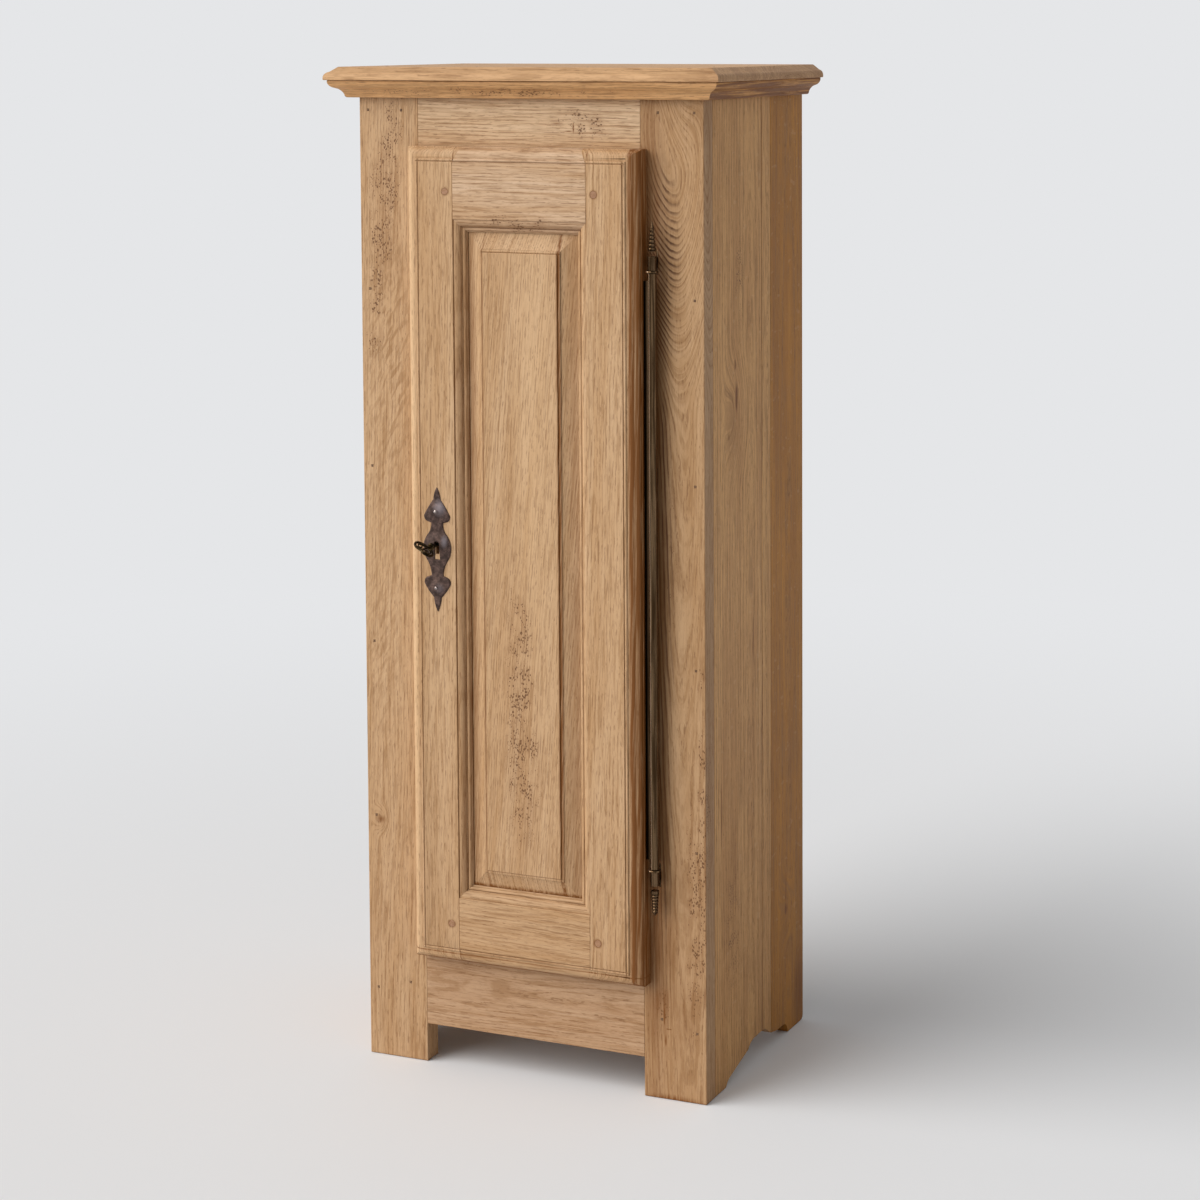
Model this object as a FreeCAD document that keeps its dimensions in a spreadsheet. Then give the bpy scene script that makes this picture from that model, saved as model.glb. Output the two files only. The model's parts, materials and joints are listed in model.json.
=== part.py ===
import FreeCAD, Part
import math
import os
from types import SimpleNamespace

import Sketcher

# Linen cabinet in oak: a nailed carcase of boards behind a tenoned face frame, with a bevelled
# top board on a mitred bed mould, and one lipped, panelled door on a long rod hinge.
# The x axis runs to the right, y to the back and z up. Every place is first worked out with
# y = 0 on the front of the face frame, and each piece is then moved so that the middle of
# the whole depth, the key's bow included, lies at y = 0.

SIZES = {
    # Carcase
    "cabinet_height": 1450.0,
    "carcase_width": 538.0,
    "carcase_depth": 372.0,
    "side_thick": 20.0,
    "front_foot_depth": 70.0,
    "rear_foot_depth": 62.0,
    "rear_foot_round": 8.0,
    "skirt_rise": 36.7,
    "back_thick": 12.0,
    "back_rebate": 10.0,
    "back_lap": 8.0,
    "back_low": 140.0,
    "board_gap": 0.5,
    # Face frame
    "frame_thick": 32.0,
    "stile_width": 95.0,
    "frame_rail_low": 56.0,
    "opening_low": 170.0,
    "top_rail_height": 99.0,
    "frame_tenon_long": 30.0,
    "frame_tenon_thick": 10.0,
    "frame_tenon_shoulder": 14.0,
    "tenon_gap": 0.2,
    # Top board and bed mould
    "top_thick": 19.0,
    "top_overhang": 38.0,
    "top_back_inset": 12.0,
    "top_edge_run": 16.0,
    "mould_run": 34.0,
    "mould_height": 25.0,
    # Inside
    "bottom_thick": 18.0,
    "shelf_thick": 18.0,
    "shelf_setback": 6.0,
    "cleat_width": 20.0,
    "cleat_height": 24.0,
    "cleat_back_gap": 28.0,
    "cleat_setback": 10.0,
    # Square cut nails, driven flush
    "nail_thick": 3.4,
    "nail_long": 55.0,
    "back_nail_long": 32.0,
    "cleat_nail_long": 34.0,
    "nail_gap": 0.1,
    "nail_end_margin": 62.0,
    "cleat_nail_margin": 40.0,
    "frame_nail_inset": 14.0,
    "tenon_nail_inset": 27.0,
    "tenon_nail_long": 22.0,
    "tenon_nail_up": 56.0,
    # Door
    "door_lip": 6.0,
    "door_proud": 29.5,
    "door_seat_gap": 0.5,
    "door_edge_gap": 2.0,
    "door_rebate_deep": 5.0,
    "door_mould_width": 21.0,
    "door_mould_deep": 11.0,
    "door_stile_width": 76.0,
    "door_top_rail": 102.0,
    "door_bottom_rail": 96.0,
    "joint_run_out": 10.0,
    "sticking_width": 18.0,
    "sticking_deep": 12.0,
    "groove_front_wall": 2.0,
    "groove_thick": 7.0,
    "groove_deep": 8.0,
    "panel_fit": 0.3,
    "panel_end_gap": 1.0,
    "panel_bevel": 23.0,
    "panel_bevel_rise": 10.0,
    "panel_bead": 4.5,
    "panel_bead_step": 0.9,
    "field_setback": 1.0,
    "door_tenon_long": 46.0,
    "door_tenon_thick": 6.0,
    "door_tenon_margin": 10.0,
    "peg_across": 10.5,
    "peg_long": 25.0,
    "peg_in": 12.0,
    "peg_up": 39.0,
    "peg_gap": 0.1,
    # Rod hinge
    "hinge_right": 18.9,
    "hinge_proud": 17.0,
    "rod_radius": 3.0,
    "rod_fit": 0.05,
    "barrel_radius": 6.0,
    "collar_radius": 9.0,
    "collar_thick": 3.0,
    "collar_end_gap": 168.0,
    "turn_gap": 0.3,
    "knuckle_long": 20.0,
    "upper_finial_long": 50.0,
    "lower_finial_long": 44.0,
    "finial_neck_radius": 3.2,
    "finial_disc_radius": 7.4,
    "finial_knob_radius": 6.2,
    "finial_bud_radius": 4.8,
    "finial_tip_radius": 1.2,
    "leaf_thick": 2.0,
    "leaf_bite": 14.0,
    "leaf_margin": 13.0,
    "leaf_fit": 0.1,
    "frame_leaf_deep": 22.0,
    "frame_leaf_spread": 7.0,
    "frame_leaf_tuck": 2.0,
    "door_leaf_nail_long": 18.5,
    "frame_leaf_nail_long": 36.0,
    "frame_leaf_nail_spread": 8.0,
    # Lock, escutcheon and key
    "key_in": 47.0,
    "case_left_gap": 1.5,
    "case_below": 23.0,
    "case_above": 43.0,
    "case_deep": 13.5,
    "case_wall": 1.8,
    "cover_thick": 1.5,
    "case_nail_in": 6.0,
    "case_nail_long": 26.0,
    "bolt_above_key": 10.0,
    "bolt_high": 22.0,
    "bolt_thick": 6.0,
    "bolt_set_in": 2.5,
    "bolt_tail_gap": 2.7,
    "bolt_throw": 12.0,
    "bolt_fit": 0.3,
    "bolt_rest_gap": 0.5,
    "talon_wide": 20.0,
    "talon_deep": 3.8,
    "talon_shift": 4.0,
    "stump_radius": 2.0,
    "stump_in": 15.0,
    "fork_high": 4.6,
    "bolt_behind_talon": 6.0,
    "spring_thick": 0.8,
    "spring_wide": 5.0,
    "spring_margin": 11.0,
    "spring_foot": 12.0,
    "strike_thick": 1.6,
    "strike_wide": 18.0,
    "strike_margin": 14.0,
    "strike_nail_long": 18.0,
    "strike_mortise_deep": 12.0,
    "keyhole_radius": 4.1,
    "keyhole_drop": 21.6,
    "keyway_wide": 5.0,
    "keyway_drop": 14.0,
    "plate_thick": 1.8,
    "plate_high": 179.0,
    "plate_top_above_key": 82.1,
    "plate_half": 22.2,
    "boss_radius": 15.5,
    "boss_top_radius": 11.0,
    "lobe_boss_radius": 9.0,
    "lobe_boss_top_radius": 5.5,
    "dome_rise": 3.2,
    "plate_nail_thick": 2.0,
    "plate_nail_head": 4.8,
    "plate_nail_head_thick": 1.4,
    "plate_nail_long": 12.0,
    "key_rest_turn": 55.0,
    "key_reach": 80.0,
    "key_shank_radius": 3.0,
    "key_tip_radius": 2.5,
    "key_collar_radius": 5.2,
    "key_collar_long": 4.0,
    "key_collar_gap": 5.0,
    "bow_long": 24.0,
    "bow_wide": 32.0,
    "bow_thick": 4.5,
    "bow_band": 3.4,
    "bit_radius": 13.0,
    "bit_thick": 3.0,
    "bit_long": 7.0,
    "bit_start": 2.2,
    # One overrun for every cut that has to leave its board
    "overrun": 10.0,
}

# Moulded outlines, in shares of their own width and depth. A step of two numbers is a straight
# line to that corner, and a step of four is an arc to it by way of the point given last.
TOP_EDGE_SHARES = [(0, 0), (0, 0.16), (0.41, 0.62, 0.10, 0.44), (1, 1)]
BED_MOULD_SHARES = [
    (0, 0),
    (0.353, 0),
    (0.456, 0.156, 0.43, 0.05),
    (0.66, 0.50, 0.526, 0.34),
    (0.76, 0.55),
    (0.99, 0.864, 0.918, 0.68),
    (0.99, 1),
    (0, 1),
]
DOOR_EDGE_SHARES = [
    (0, 1),
    (0.07, 1),
    (0.07, 0.90),
    (0.74, 0.24, 0.25, 0.45),
    (0.78, 0.24),
    (0.78, 0.16),
    (0.96, 0.16, 0.87, 0.03),
    (1, 0.16),
    (1, 0),
]
STICKING_SHARES = [
    (0, 0),
    (0, 0.15),
    (0.55, 0.52, 0.33, 0.20),
    (0.55, 0.62),
    (0.62, 0.62),
    (0.62, 0.74),
    (0.88, 0.80, 0.76, 0.64),
    (0.88, 0.92),
    (1, 1),
]
# The shaped lower edge of the sides, from the front foot to the rear foot, in shares of the
# length between the feet and of the skirt's rise.
SKIRT_SHARES = {
    "toe": (0.078, 0.30, 0.030, 0.20),
    "sweep": (0.346, 0.71, 0.210, 0.50),
    "shoulder": (0.435, 0.98, 0.385, 0.91),
    "corner": (0.6125, 1.0),
    "cusp": (0.7025, 0.654),
    "flat_start": (0.8125, 0.463),
    "flat_end": (0.923, 0.463),
    "heel": (1.0, 0, 0.985, 0.26),
}
FRONT_JOINT_SHARE = (0.5875, 0.995)
REAR_JOINT_SHARE = (0.725, 0.58)
# Half the outline of the escutcheon from its top point down its right edge, in shares of half
# its width and of its height: spear, upper heart, waist, belly, waist, lower heart and tail.
PLATE_SHARES = [
    (0, 0),
    (0.25, 0.096, 0.18, 0.045),
    (0.93, 0.225, 0.63, 0.162),
    (0.60, 0.278, 0.86, 0.262),
    (0.43, 0.286),
    (0.72, 0.385, 0.50, 0.342),
    (0.74, 0.588, 1.0, 0.485),
    (0.42, 0.710, 0.50, 0.650),
    (0.70, 0.722),
    (0.93, 0.778, 0.90, 0.742),
    (0.27, 0.885, 0.70, 0.824),
    (0, 1, 0.19, 0.945),
]
# How high a turned finial's disc ends and where its knob, waist and bud are, in shares of its
# length from the knuckle to the tip.
FINIAL_SHARES = (0.07, 0.24, 0.43, 0.60)
# How far the bow's outline swells half-way round each quarter, in shares of half its length and
# width, and where its two holes end on the rib and swell along and out, in shares of their own.
BOW_SWELL_SHARE = 0.71
BOW_HOLE_SHARES = (0.80, 0.72, 0.66)
# Places up the door opening, in shares of its height
SHELF_PLACES = ("lower", "middle", "upper")
SHELF_LEVEL_SHARES = (0.267, 0.5335, 0.80)
KEY_HEIGHT_SHARE = 0.5172
FRAME_NAIL_HEIGHT_SHARES = (0.07, 0.25, 0.43, 0.61, 0.79, 0.97)
BACK_NAIL_HEIGHT_SHARES = (0.03, 0.27, 0.50, 0.74, 0.97)
DOOR_LEAF_NAIL_SHARES = (0.04, 0.27, 0.50, 0.73, 0.96)
PLATE_NAIL_SHARES = (0.192, 0.805)
BACK_BOARD_SHARES = (0, 0.35, 0.66, 1)


def words(value):
    return value.text if isinstance(value, Size) else repr(float(value))


class Size:
    """A length with the expression that ties it to the sheet."""

    def __init__(self, value, text):
        self.value = value
        self.text = text

    def __float__(self):
        return self.value

    def __add__(self, other):
        return Size(self.value + float(other), f"({self.text} + {words(other)})")

    def __sub__(self, other):
        return Size(self.value - float(other), f"({self.text} - {words(other)})")

    def __rsub__(self, other):
        return Size(float(other) - self.value, f"({words(other)} - {self.text})")

    def __mul__(self, other):
        return Size(self.value * float(other), f"({self.text} * {words(other)})")

    def __truediv__(self, other):
        return Size(self.value / float(other), f"({self.text} / {words(other)})")

    def __neg__(self):
        return Size(-self.value, f"(0 - {self.text})")

    __radd__ = __add__
    __rmul__ = __mul__


doc = FreeCAD.newDocument("linen_cabinet")
sheet = doc.addObject("Spreadsheet::Sheet", "Sizes")
for row, (name, value) in enumerate(SIZES.items(), start=1):
    sheet.set(f"A{row}", name)
    sheet.set(f"B{row}", str(value))
    sheet.setAlias(f"B{row}", name)
doc.recompute()
s = SimpleNamespace(**{name: Size(float(sheet.get(name)), f"Sizes.{name}") for name in SIZES})
pieces = []
own_places = {}


def vector(x, y, z):
    return FreeCAD.Vector(float(x), float(y), float(z))


def bind(obj, prop, value):
    """Sets a property, and ties it to the sheet where the value comes from there."""
    if isinstance(value, Size):
        obj.setExpression(prop, value.text)
    elif value:
        obj.setExpression(prop, words(value))


def block(name, x, y, z):
    """A square-edged block between its low and high places on each axis."""
    box = doc.addObject("Part::Box", name)
    for prop, (low, high) in (("Length", x), ("Width", y), ("Height", z)):
        bind(box, prop, high - low)
    for axis, (low, high) in (("x", x), ("y", y), ("z", z)):
        bind(box, "Placement.Base." + axis, low)
    own_places[box.Name] = y[0]
    return box


def rod(name, centre, radius, length, direction="z"):
    """A round bar from its start point along x, y or z."""
    bar = doc.addObject("Part::Cylinder", name)
    bind(bar, "Radius", radius)
    bind(bar, "Height", length)
    turns = {
        "x": FreeCAD.Rotation(FreeCAD.Vector(0, 1, 0), 90),
        "y": FreeCAD.Rotation(FreeCAD.Vector(1, 0, 0), -90),
        "z": FreeCAD.Rotation(),
    }
    bar.Placement = FreeCAD.Placement(FreeCAD.Vector(), turns[direction])
    for axis, value in zip("xyz", centre):
        bind(bar, "Placement.Base." + axis, value)
    own_places[bar.Name] = centre[1]
    return bar


def solid(name, shape):
    """A shape that is worked out in the macro, as an object of the document."""
    made = doc.addObject("Part::Feature", name)
    made.Shape = shape
    return made


def together(name, members):
    group = doc.addObject("Part::Compound", name)
    group.Links = list(members)
    return group


def cut(name, base, *tools):
    made = doc.addObject("Part::Cut", name)
    made.Base = base
    made.Tool = tools[0] if len(tools) == 1 else together(name + "_tools", tools)
    return made


def fuse(name, *members):
    made = doc.addObject("Part::MultiFuse", name)
    made.Shapes = list(members)
    made.Refine = True
    return made


def piece(label, obj):
    """Keeps an object as a sub-part and moves it back by half the whole depth."""
    obj.Label = label
    bind(obj, "Placement.Base.y", own_places.get(obj.Name, 0) + to_middle)
    pieces.append(obj)
    return obj


def fixed(label, shape):
    """Keeps a worked-out shape as a sub-part."""
    made = solid(label, shape)
    made.Placement = FreeCAD.Placement(vector(0, to_middle, 0), FreeCAD.Rotation())
    return piece(label, made)


def steps_of(shares, corner):
    """Turns a list of share steps into steps in lengths, by a rule for one corner."""
    made = []
    for step in shares:
        end = corner(step[0], step[1])
        made.append(end if len(step) == 2 else end + corner(step[2], step[3]))
    return made


def backwards(steps):
    """The same open outline from its other end."""
    made = []
    for index in range(len(steps) - 1, -1, -1):
        after = steps[index + 1] if index + 1 < len(steps) else ()
        made.append(steps[index][:2] + after[2:])
    return made


def face(steps, place):
    """A flat face inside a closed outline; place turns its two measures into a point."""
    edges = []
    for index, step in enumerate(steps):
        start = place(*steps[index - 1][:2])
        end = place(*step[:2])
        if start.distanceToPoint(end) < 1e-6:
            continue
        if len(step) == 4:
            edges.append(Part.Arc(start, place(*step[2:]), end).toShape())
        else:
            edges.append(Part.LineSegment(start, end).toShape())
    return Part.Face(Part.Wire(edges))


def sketch(body, role, name, steps, height=0):
    """A closed outline on one of the body's own planes, every corner tied to the sheet."""
    made = body.newObject("Sketcher::SketchObject", name)
    plane = next(item for item in body.Origin.OriginFeatures if item.Role == role)
    made.AttachmentSupport = [(plane, "")]
    made.MapMode = "FlatFace"
    bind(made, "AttachmentOffset.Base.z", height)
    draw(made, steps)
    return made


def draw(made, steps):
    """Adds one closed outline to a sketch."""
    corners = [vector(step[0], step[1], 0) for step in steps]
    first = made.GeometryCount
    for index, step in enumerate(steps):
        start, end = corners[index - 1], corners[index]
        if len(step) == 4:
            made.addGeometry(Part.Arc(start, vector(step[2], step[3], 0), end), False)
        else:
            made.addGeometry(Part.LineSegment(start, end), False)

    def side(index, point):
        return 1 if made.getPoint(first + index, 1).distanceToPoint(point) < 1e-6 else 2

    def hold(geometry, end, step_u, step_v):
        for kind, value in (("DistanceX", step_u), ("DistanceY", step_v)):
            number = made.addConstraint(
                Sketcher.Constraint(kind, -1, 1, geometry, end, float(value))
            )
            bind(made, f"Constraints[{number}]", value)

    for index, step in enumerate(steps):
        following = (index + 1) % len(steps)
        made.addConstraint(
            Sketcher.Constraint(
                "Coincident",
                first + index,
                side(index, corners[index]),
                first + following,
                side(following, corners[index]),
            )
        )
        hold(first + index, side(index, corners[index]), step[0], step[1])
    for index, step in enumerate(steps):
        if len(step) == 4:
            point = made.addGeometry(Part.Point(vector(step[2], step[3], 0)), True)
            made.addConstraint(Sketcher.Constraint("PointOnObject", point, 1, first + index))
            hold(point, 1, step[2], step[3])


def padded_body(label, role, steps, low, high):
    """A board whose outline is padded from one level to another across its plane."""
    body = doc.addObject("PartDesign::Body", label)
    outline = sketch(body, role, label + "_outline", steps, low)
    pad = body.newObject("PartDesign::Pad", label + "_pad")
    pad.Profile = outline
    bind(pad, "Length", high - low)
    outline.Visibility = False
    return body


def nail(head, direction, length, spare=0):
    """A square cut nail from its head inwards; spare makes the hole that it is driven into."""
    half = float(s.nail_thick / 2 + spare)
    bar = Part.makeBox(2 * half, 2 * half, float(length + spare), FreeCAD.Vector(-half, -half, 0))
    turn = FreeCAD.Rotation(FreeCAD.Vector(0, 0, 1), vector(*direction))
    bar.Placement = FreeCAD.Placement(vector(*head), turn)
    return bar


def nails(label, rows):
    """A node of like nails, and the holes that they are driven into."""
    fixed(label, Part.makeCompound([nail(*row) for row in rows]))
    return [nail(*row, spare=s.nail_gap) for row in rows]


def drilled(name, base, holes):
    """A board with the holes of those fasteners that reach it."""
    base.recompute()
    reach = base.Shape.BoundBox
    near = [hole for hole in holes if hole.BoundBox.intersect(reach)]
    if not near:
        return base
    return cut(name, base, solid(name + "_holes", Part.makeCompound(near)))


# Places that several pieces share
half_width = s.carcase_width / 2
side_inner = half_width - s.side_thick
top_under = s.cabinet_height - s.top_thick
opening_half = half_width - s.stile_width
opening_high = top_under - s.top_rail_height
opening_height = opening_high - s.opening_low
shelf_levels = {
    place: s.opening_low + opening_height * share
    for place, share in zip(SHELF_PLACES, SHELF_LEVEL_SHARES)
}
key_height = s.opening_low + opening_height * KEY_HEIGHT_SHARE
back_inner = s.carcase_depth - s.back_thick
to_middle = (s.key_reach - s.carcase_depth) / 2
mould_low = top_under - s.mould_height
door_half = opening_half + s.door_lip
door_low = s.opening_low - s.door_lip
door_high = opening_high + s.door_lip
collar_low = door_low + s.collar_end_gap
collar_high = door_high - s.collar_end_gap
face_y = -s.door_proud
lip_back = -s.door_seat_gap
hinge_x = door_half + s.hinge_right
hinge_y = -s.hinge_proud
key_x = s.key_in - door_half
mirror_sides = (("left", -1), ("right", 1))


# Nails of the carcase, with the holes that they leave in the boards
side_middle_x = half_width - s.side_thick / 2
frame_nail_x = half_width - s.frame_nail_inset
frame_nail_rows = [
    ((sign * frame_nail_x, 0, top_under * share), (0, 1, 0), s.nail_long)
    for _, sign in mirror_sides
    for share in FRAME_NAIL_HEIGHT_SHARES
]
tenon_nail_x = opening_half + s.tenon_nail_inset
frame_nail_rows += [
    ((sign * tenon_nail_x, 0, height), (0, 1, 0), s.tenon_nail_long)
    for _, sign in mirror_sides
    for height in (s.opening_low - s.tenon_nail_up, opening_high + s.tenon_nail_up)
]
frame_holes = nails("frame_nails", frame_nail_rows)

top_nail_rows = [
    ((sign * side_middle_x, place_y, s.cabinet_height), (0, 0, -1), s.nail_long)
    for _, sign in mirror_sides
    for place_y in (s.nail_end_margin, s.carcase_depth / 2, back_inner - s.nail_end_margin)
]
top_nail_rows += [
    ((sign * opening_half / 2, s.frame_thick / 2, s.cabinet_height), (0, 0, -1), s.nail_long)
    for _, sign in mirror_sides
]
top_holes = nails("top_nails", top_nail_rows)

back_edge = side_inner + s.back_rebate
back_length = top_under - s.back_low
back_nail_rows = [
    (
        (sign * (side_inner + s.back_rebate / 2), s.carcase_depth, s.back_low + back_length * share),
        (0, -1, 0),
        s.back_nail_long,
    )
    for _, sign in mirror_sides
    for share in BACK_NAIL_HEIGHT_SHARES
]
back_nail_rows += [
    ((place_x, s.carcase_depth, height), (0, -1, 0), s.back_nail_long)
    for place_x in (-side_inner / 2, 0, side_inner / 2)
    for height in (s.opening_low - s.bottom_thick / 2,)
]
back_holes = nails("back_nails", back_nail_rows)

cleat_start = s.frame_thick + s.cleat_setback
cleat_end = back_inner - s.cleat_back_gap
cleat_levels = {
    "bottom": s.opening_low - s.bottom_thick,
    **{name: level - s.shelf_thick for name, level in shelf_levels.items()},
    "top": top_under,
}
cleat_nail_rows = [
    (
        (sign * (side_inner - s.cleat_width), place_y, level - s.cleat_height / 2),
        (sign, 0, 0),
        s.cleat_nail_long,
    )
    for _, sign in mirror_sides
    for level in cleat_levels.values()
    for place_y in (
        cleat_start + s.cleat_nail_margin,
        cleat_end - s.cleat_nail_margin,
    )
]
cleat_holes = nails("cleat_nails", cleat_nail_rows)

# Nails of the hinge leaves, the lock and the strike plate
frame_leaf_middle = s.frame_leaf_deep / 2
knuckle_levels = {
    "top": (collar_high + s.collar_thick / 2, 1),
    "bottom": (collar_low - s.collar_thick / 2, -1),
}
frame_leaf_nail_rows = [
    (
        (opening_half, frame_leaf_middle, start + way * s.knuckle_long / 2 + step),
        (1, 0, 0),
        s.frame_leaf_nail_long,
    )
    for start, way in knuckle_levels.values()
    for step in (-s.frame_leaf_nail_spread, s.frame_leaf_nail_spread)
]
frame_leaf_holes = nails("frame_leaf_nails", frame_leaf_nail_rows)

leaf_low = collar_low + s.leaf_margin
leaf_high = collar_high - s.leaf_margin
door_leaf_nail_rows = [
    (
        (door_half - s.leaf_bite / 2, lip_back, leaf_low + (leaf_high - leaf_low) * share),
        (0, -1, 0),
        s.door_leaf_nail_long,
    )
    for share in DOOR_LEAF_NAIL_SHARES
]
door_leaf_holes = nails("door_leaf_nails", door_leaf_nail_rows)

cover_y = s.door_rebate_deep
case_front = cover_y + s.cover_thick
case_back = case_front + s.case_deep
case_left = s.door_edge_gap + s.case_left_gap - opening_half
talon_middle = key_x + s.talon_shift
bolt_tail = talon_middle + s.talon_wide / 2 + s.bolt_behind_talon
case_right = bolt_tail + s.bolt_tail_gap + s.case_wall
case_low = key_height - s.case_below
case_high = key_height + s.case_above
lock_nail_rows = [
    ((place_x, case_back, place_z), (0, -1, 0), s.case_nail_long)
    for place_x in (case_left + s.case_nail_in, case_right - s.case_nail_in)
    for place_z in (case_low + s.case_nail_in, case_high - s.case_nail_in)
]
lock_holes = nails("lock_nails", lock_nail_rows)

bolt_front = case_front + s.bolt_set_in
bolt_back = bolt_front + s.bolt_thick
bolt_low = key_height + s.bolt_above_key
bolt_high = bolt_low + s.bolt_high
strike_middle = (bolt_front + bolt_back) / 2
strike_nail_rows = [
    ((-opening_half, strike_middle, place_z), (-1, 0, 0), s.strike_nail_long)
    for place_z in (bolt_low - s.strike_margin / 2, bolt_high + s.strike_margin / 2)
]
strike_holes = nails("strike_nails", strike_nail_rows)

# Face frame: two stiles down to the floor, two rails tenoned between them
tenon_y = (
    (s.frame_thick - s.frame_tenon_thick) / 2,
    (s.frame_thick + s.frame_tenon_thick) / 2,
)
rail_levels = {"bottom": (s.frame_rail_low, s.opening_low), "top": (opening_high, top_under)}


def frame_tenon(name, low, high, spare=0):
    """The tenons of one rail as one bar through both shoulders, or their mortises."""
    reach = opening_half + s.frame_tenon_long + spare
    return block(
        name,
        (-reach, reach),
        (tenon_y[0] - spare, tenon_y[1] + spare),
        (low + s.frame_tenon_shoulder - spare, high - s.frame_tenon_shoulder + spare),
    )


for place, (low, high) in rail_levels.items():
    rail = block(
        f"frame_rail_{place}_board",
        (-opening_half, opening_half),
        (0, s.frame_thick),
        (low, high),
    )
    rail = fuse(f"frame_rail_{place}_tenoned", rail, frame_tenon(f"tenon_{place}", low, high))
    doc.recompute()
    rail = drilled(f"frame_rail_{place}_drilled", rail, frame_holes + top_holes)
    piece(f"frame_rail_{place}", rail)

leaf_half = s.leaf_thick / 2 + s.leaf_fit
for side_name, sign in mirror_sides:
    edges = sorted((sign * half_width, sign * opening_half), key=float)
    stile = block(
        f"frame_stile_{side_name}_board",
        tuple(edges),
        (0, s.frame_thick),
        (0, top_under),
    )
    tools = [
        frame_tenon(f"mortise_{side_name}_{place}", low, high, s.tenon_gap)
        for place, (low, high) in rail_levels.items()
    ]
    if sign < 0:
        tools.append(
            block(
                "strike_seat",
                (-opening_half - s.strike_thick, -opening_half + s.overrun),
                (strike_middle - s.strike_wide / 2, strike_middle + s.strike_wide / 2),
                (bolt_low - s.strike_margin, bolt_high + s.strike_margin),
            )
        )
        tools.append(
            block(
                "bolt_mortise",
                (-opening_half - s.strike_thick - s.strike_mortise_deep, -opening_half),
                (bolt_front - s.bolt_fit, bolt_back + s.bolt_fit),
                (bolt_low - s.bolt_fit, bolt_high + s.bolt_fit),
            )
        )
    else:
        for place, (start, way) in knuckle_levels.items():
            ends = sorted(
                (
                    start - way * (s.frame_leaf_spread + s.leaf_fit),
                    start + way * (s.knuckle_long + s.frame_leaf_spread + s.leaf_fit),
                ),
                key=float,
            )
            tools.append(
                block(
                    f"leaf_mortise_{place}",
                    (hinge_x - leaf_half, hinge_x + leaf_half),
                    (-s.overrun, s.frame_leaf_deep + s.leaf_fit),
                    tuple(ends),
                )
            )
    stile = cut(f"frame_stile_{side_name}_mortised", stile, fuse(f"cuts_{side_name}", *tools))
    doc.recompute()
    holes = frame_holes + strike_holes + frame_leaf_holes
    piece(f"frame_stile_{side_name}", drilled(f"frame_stile_{side_name}_drilled", stile, holes))

# Sides: three boards each, with a shaped lower edge between a front and a rear foot
skirt_length = s.carcase_depth - s.rear_foot_depth - s.front_foot_depth


def skirt(along, up):
    return (s.front_foot_depth + skirt_length * along, s.skirt_rise * up)


def skirt_steps(*names):
    return steps_of([SKIRT_SHARES[name] for name in names], skirt)


front_joint = skirt(*FRONT_JOINT_SHARE)
rear_joint = skirt(*REAR_JOINT_SHARE)
side_boards = {
    "front": [
        (s.frame_thick, 0),
        (s.front_foot_depth, 0),
        *skirt_steps("toe", "sweep", "shoulder"),
        front_joint,
        (front_joint[0], top_under),
        (s.frame_thick, top_under),
    ],
    "middle": [
        front_joint,
        *skirt_steps("corner", "cusp"),
        rear_joint,
        (rear_joint[0], top_under),
        (front_joint[0], top_under),
    ],
    "rear": [
        rear_joint,
        *skirt_steps("flat_start", "flat_end", "heel"),
        (s.carcase_depth - s.rear_foot_round, 0),
        (
            s.carcase_depth,
            s.rear_foot_round,
            s.carcase_depth - s.rear_foot_round * (1 - math.sqrt(0.5)),
            s.rear_foot_round * (1 - math.sqrt(0.5)),
        ),
        (s.carcase_depth, top_under),
        (rear_joint[0], top_under),
    ],
}
for side_name, sign in mirror_sides:
    faces = sorted((sign * side_inner, sign * half_width), key=float)
    for place, outline in side_boards.items():
        label = f"side_{side_name}_{place}_board"
        made = padded_body(label + "_body", "YZ_Plane", outline, *faces)
        if place == "rear":
            rebate = sorted((sign * (side_inner - s.overrun), sign * back_edge), key=float)
            seat = block(
                label + "_rebate",
                tuple(rebate),
                (back_inner, s.carcase_depth + s.overrun),
                (-s.overrun, top_under + s.overrun),
            )
            made = cut(label + "_rebated", made, seat)
        doc.recompute()
        holes = frame_holes + top_holes + back_holes + cleat_holes
        piece(label, drilled(label + "_drilled", made, holes))

# Back: three upright boards that lap each other by half their thickness
back_mid = back_inner + s.back_thick / 2
for number in (1, 2, 3):
    left = -back_edge + 2 * back_edge * BACK_BOARD_SHARES[number - 1]
    right = -back_edge + 2 * back_edge * BACK_BOARD_SHARES[number]
    lap_left = left if number == 1 else left - s.back_lap
    lap_right = right if number == 3 else right - s.back_lap - s.board_gap
    outline = [
        (lap_left, back_inner),
        (lap_right, back_inner),
        (lap_right, back_mid),
        (right - s.board_gap * (number != 3), back_mid),
        (right - s.board_gap * (number != 3), s.carcase_depth),
        (left, s.carcase_depth),
        (left, back_mid),
        (lap_left, back_mid),
    ]
    corners = []
    for corner in outline:
        last = corners[-1] if corners else outline[-1]
        if abs(float(corner[0]) - float(last[0])) + abs(float(corner[1]) - float(last[1])) > 1e-6:
            corners.append(corner)
    label = f"back_board_{number}"
    made = padded_body(label + "_body", "XY_Plane", corners, s.back_low, top_under)
    doc.recompute()
    piece(label, drilled(label + "_drilled", made, back_holes))

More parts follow.
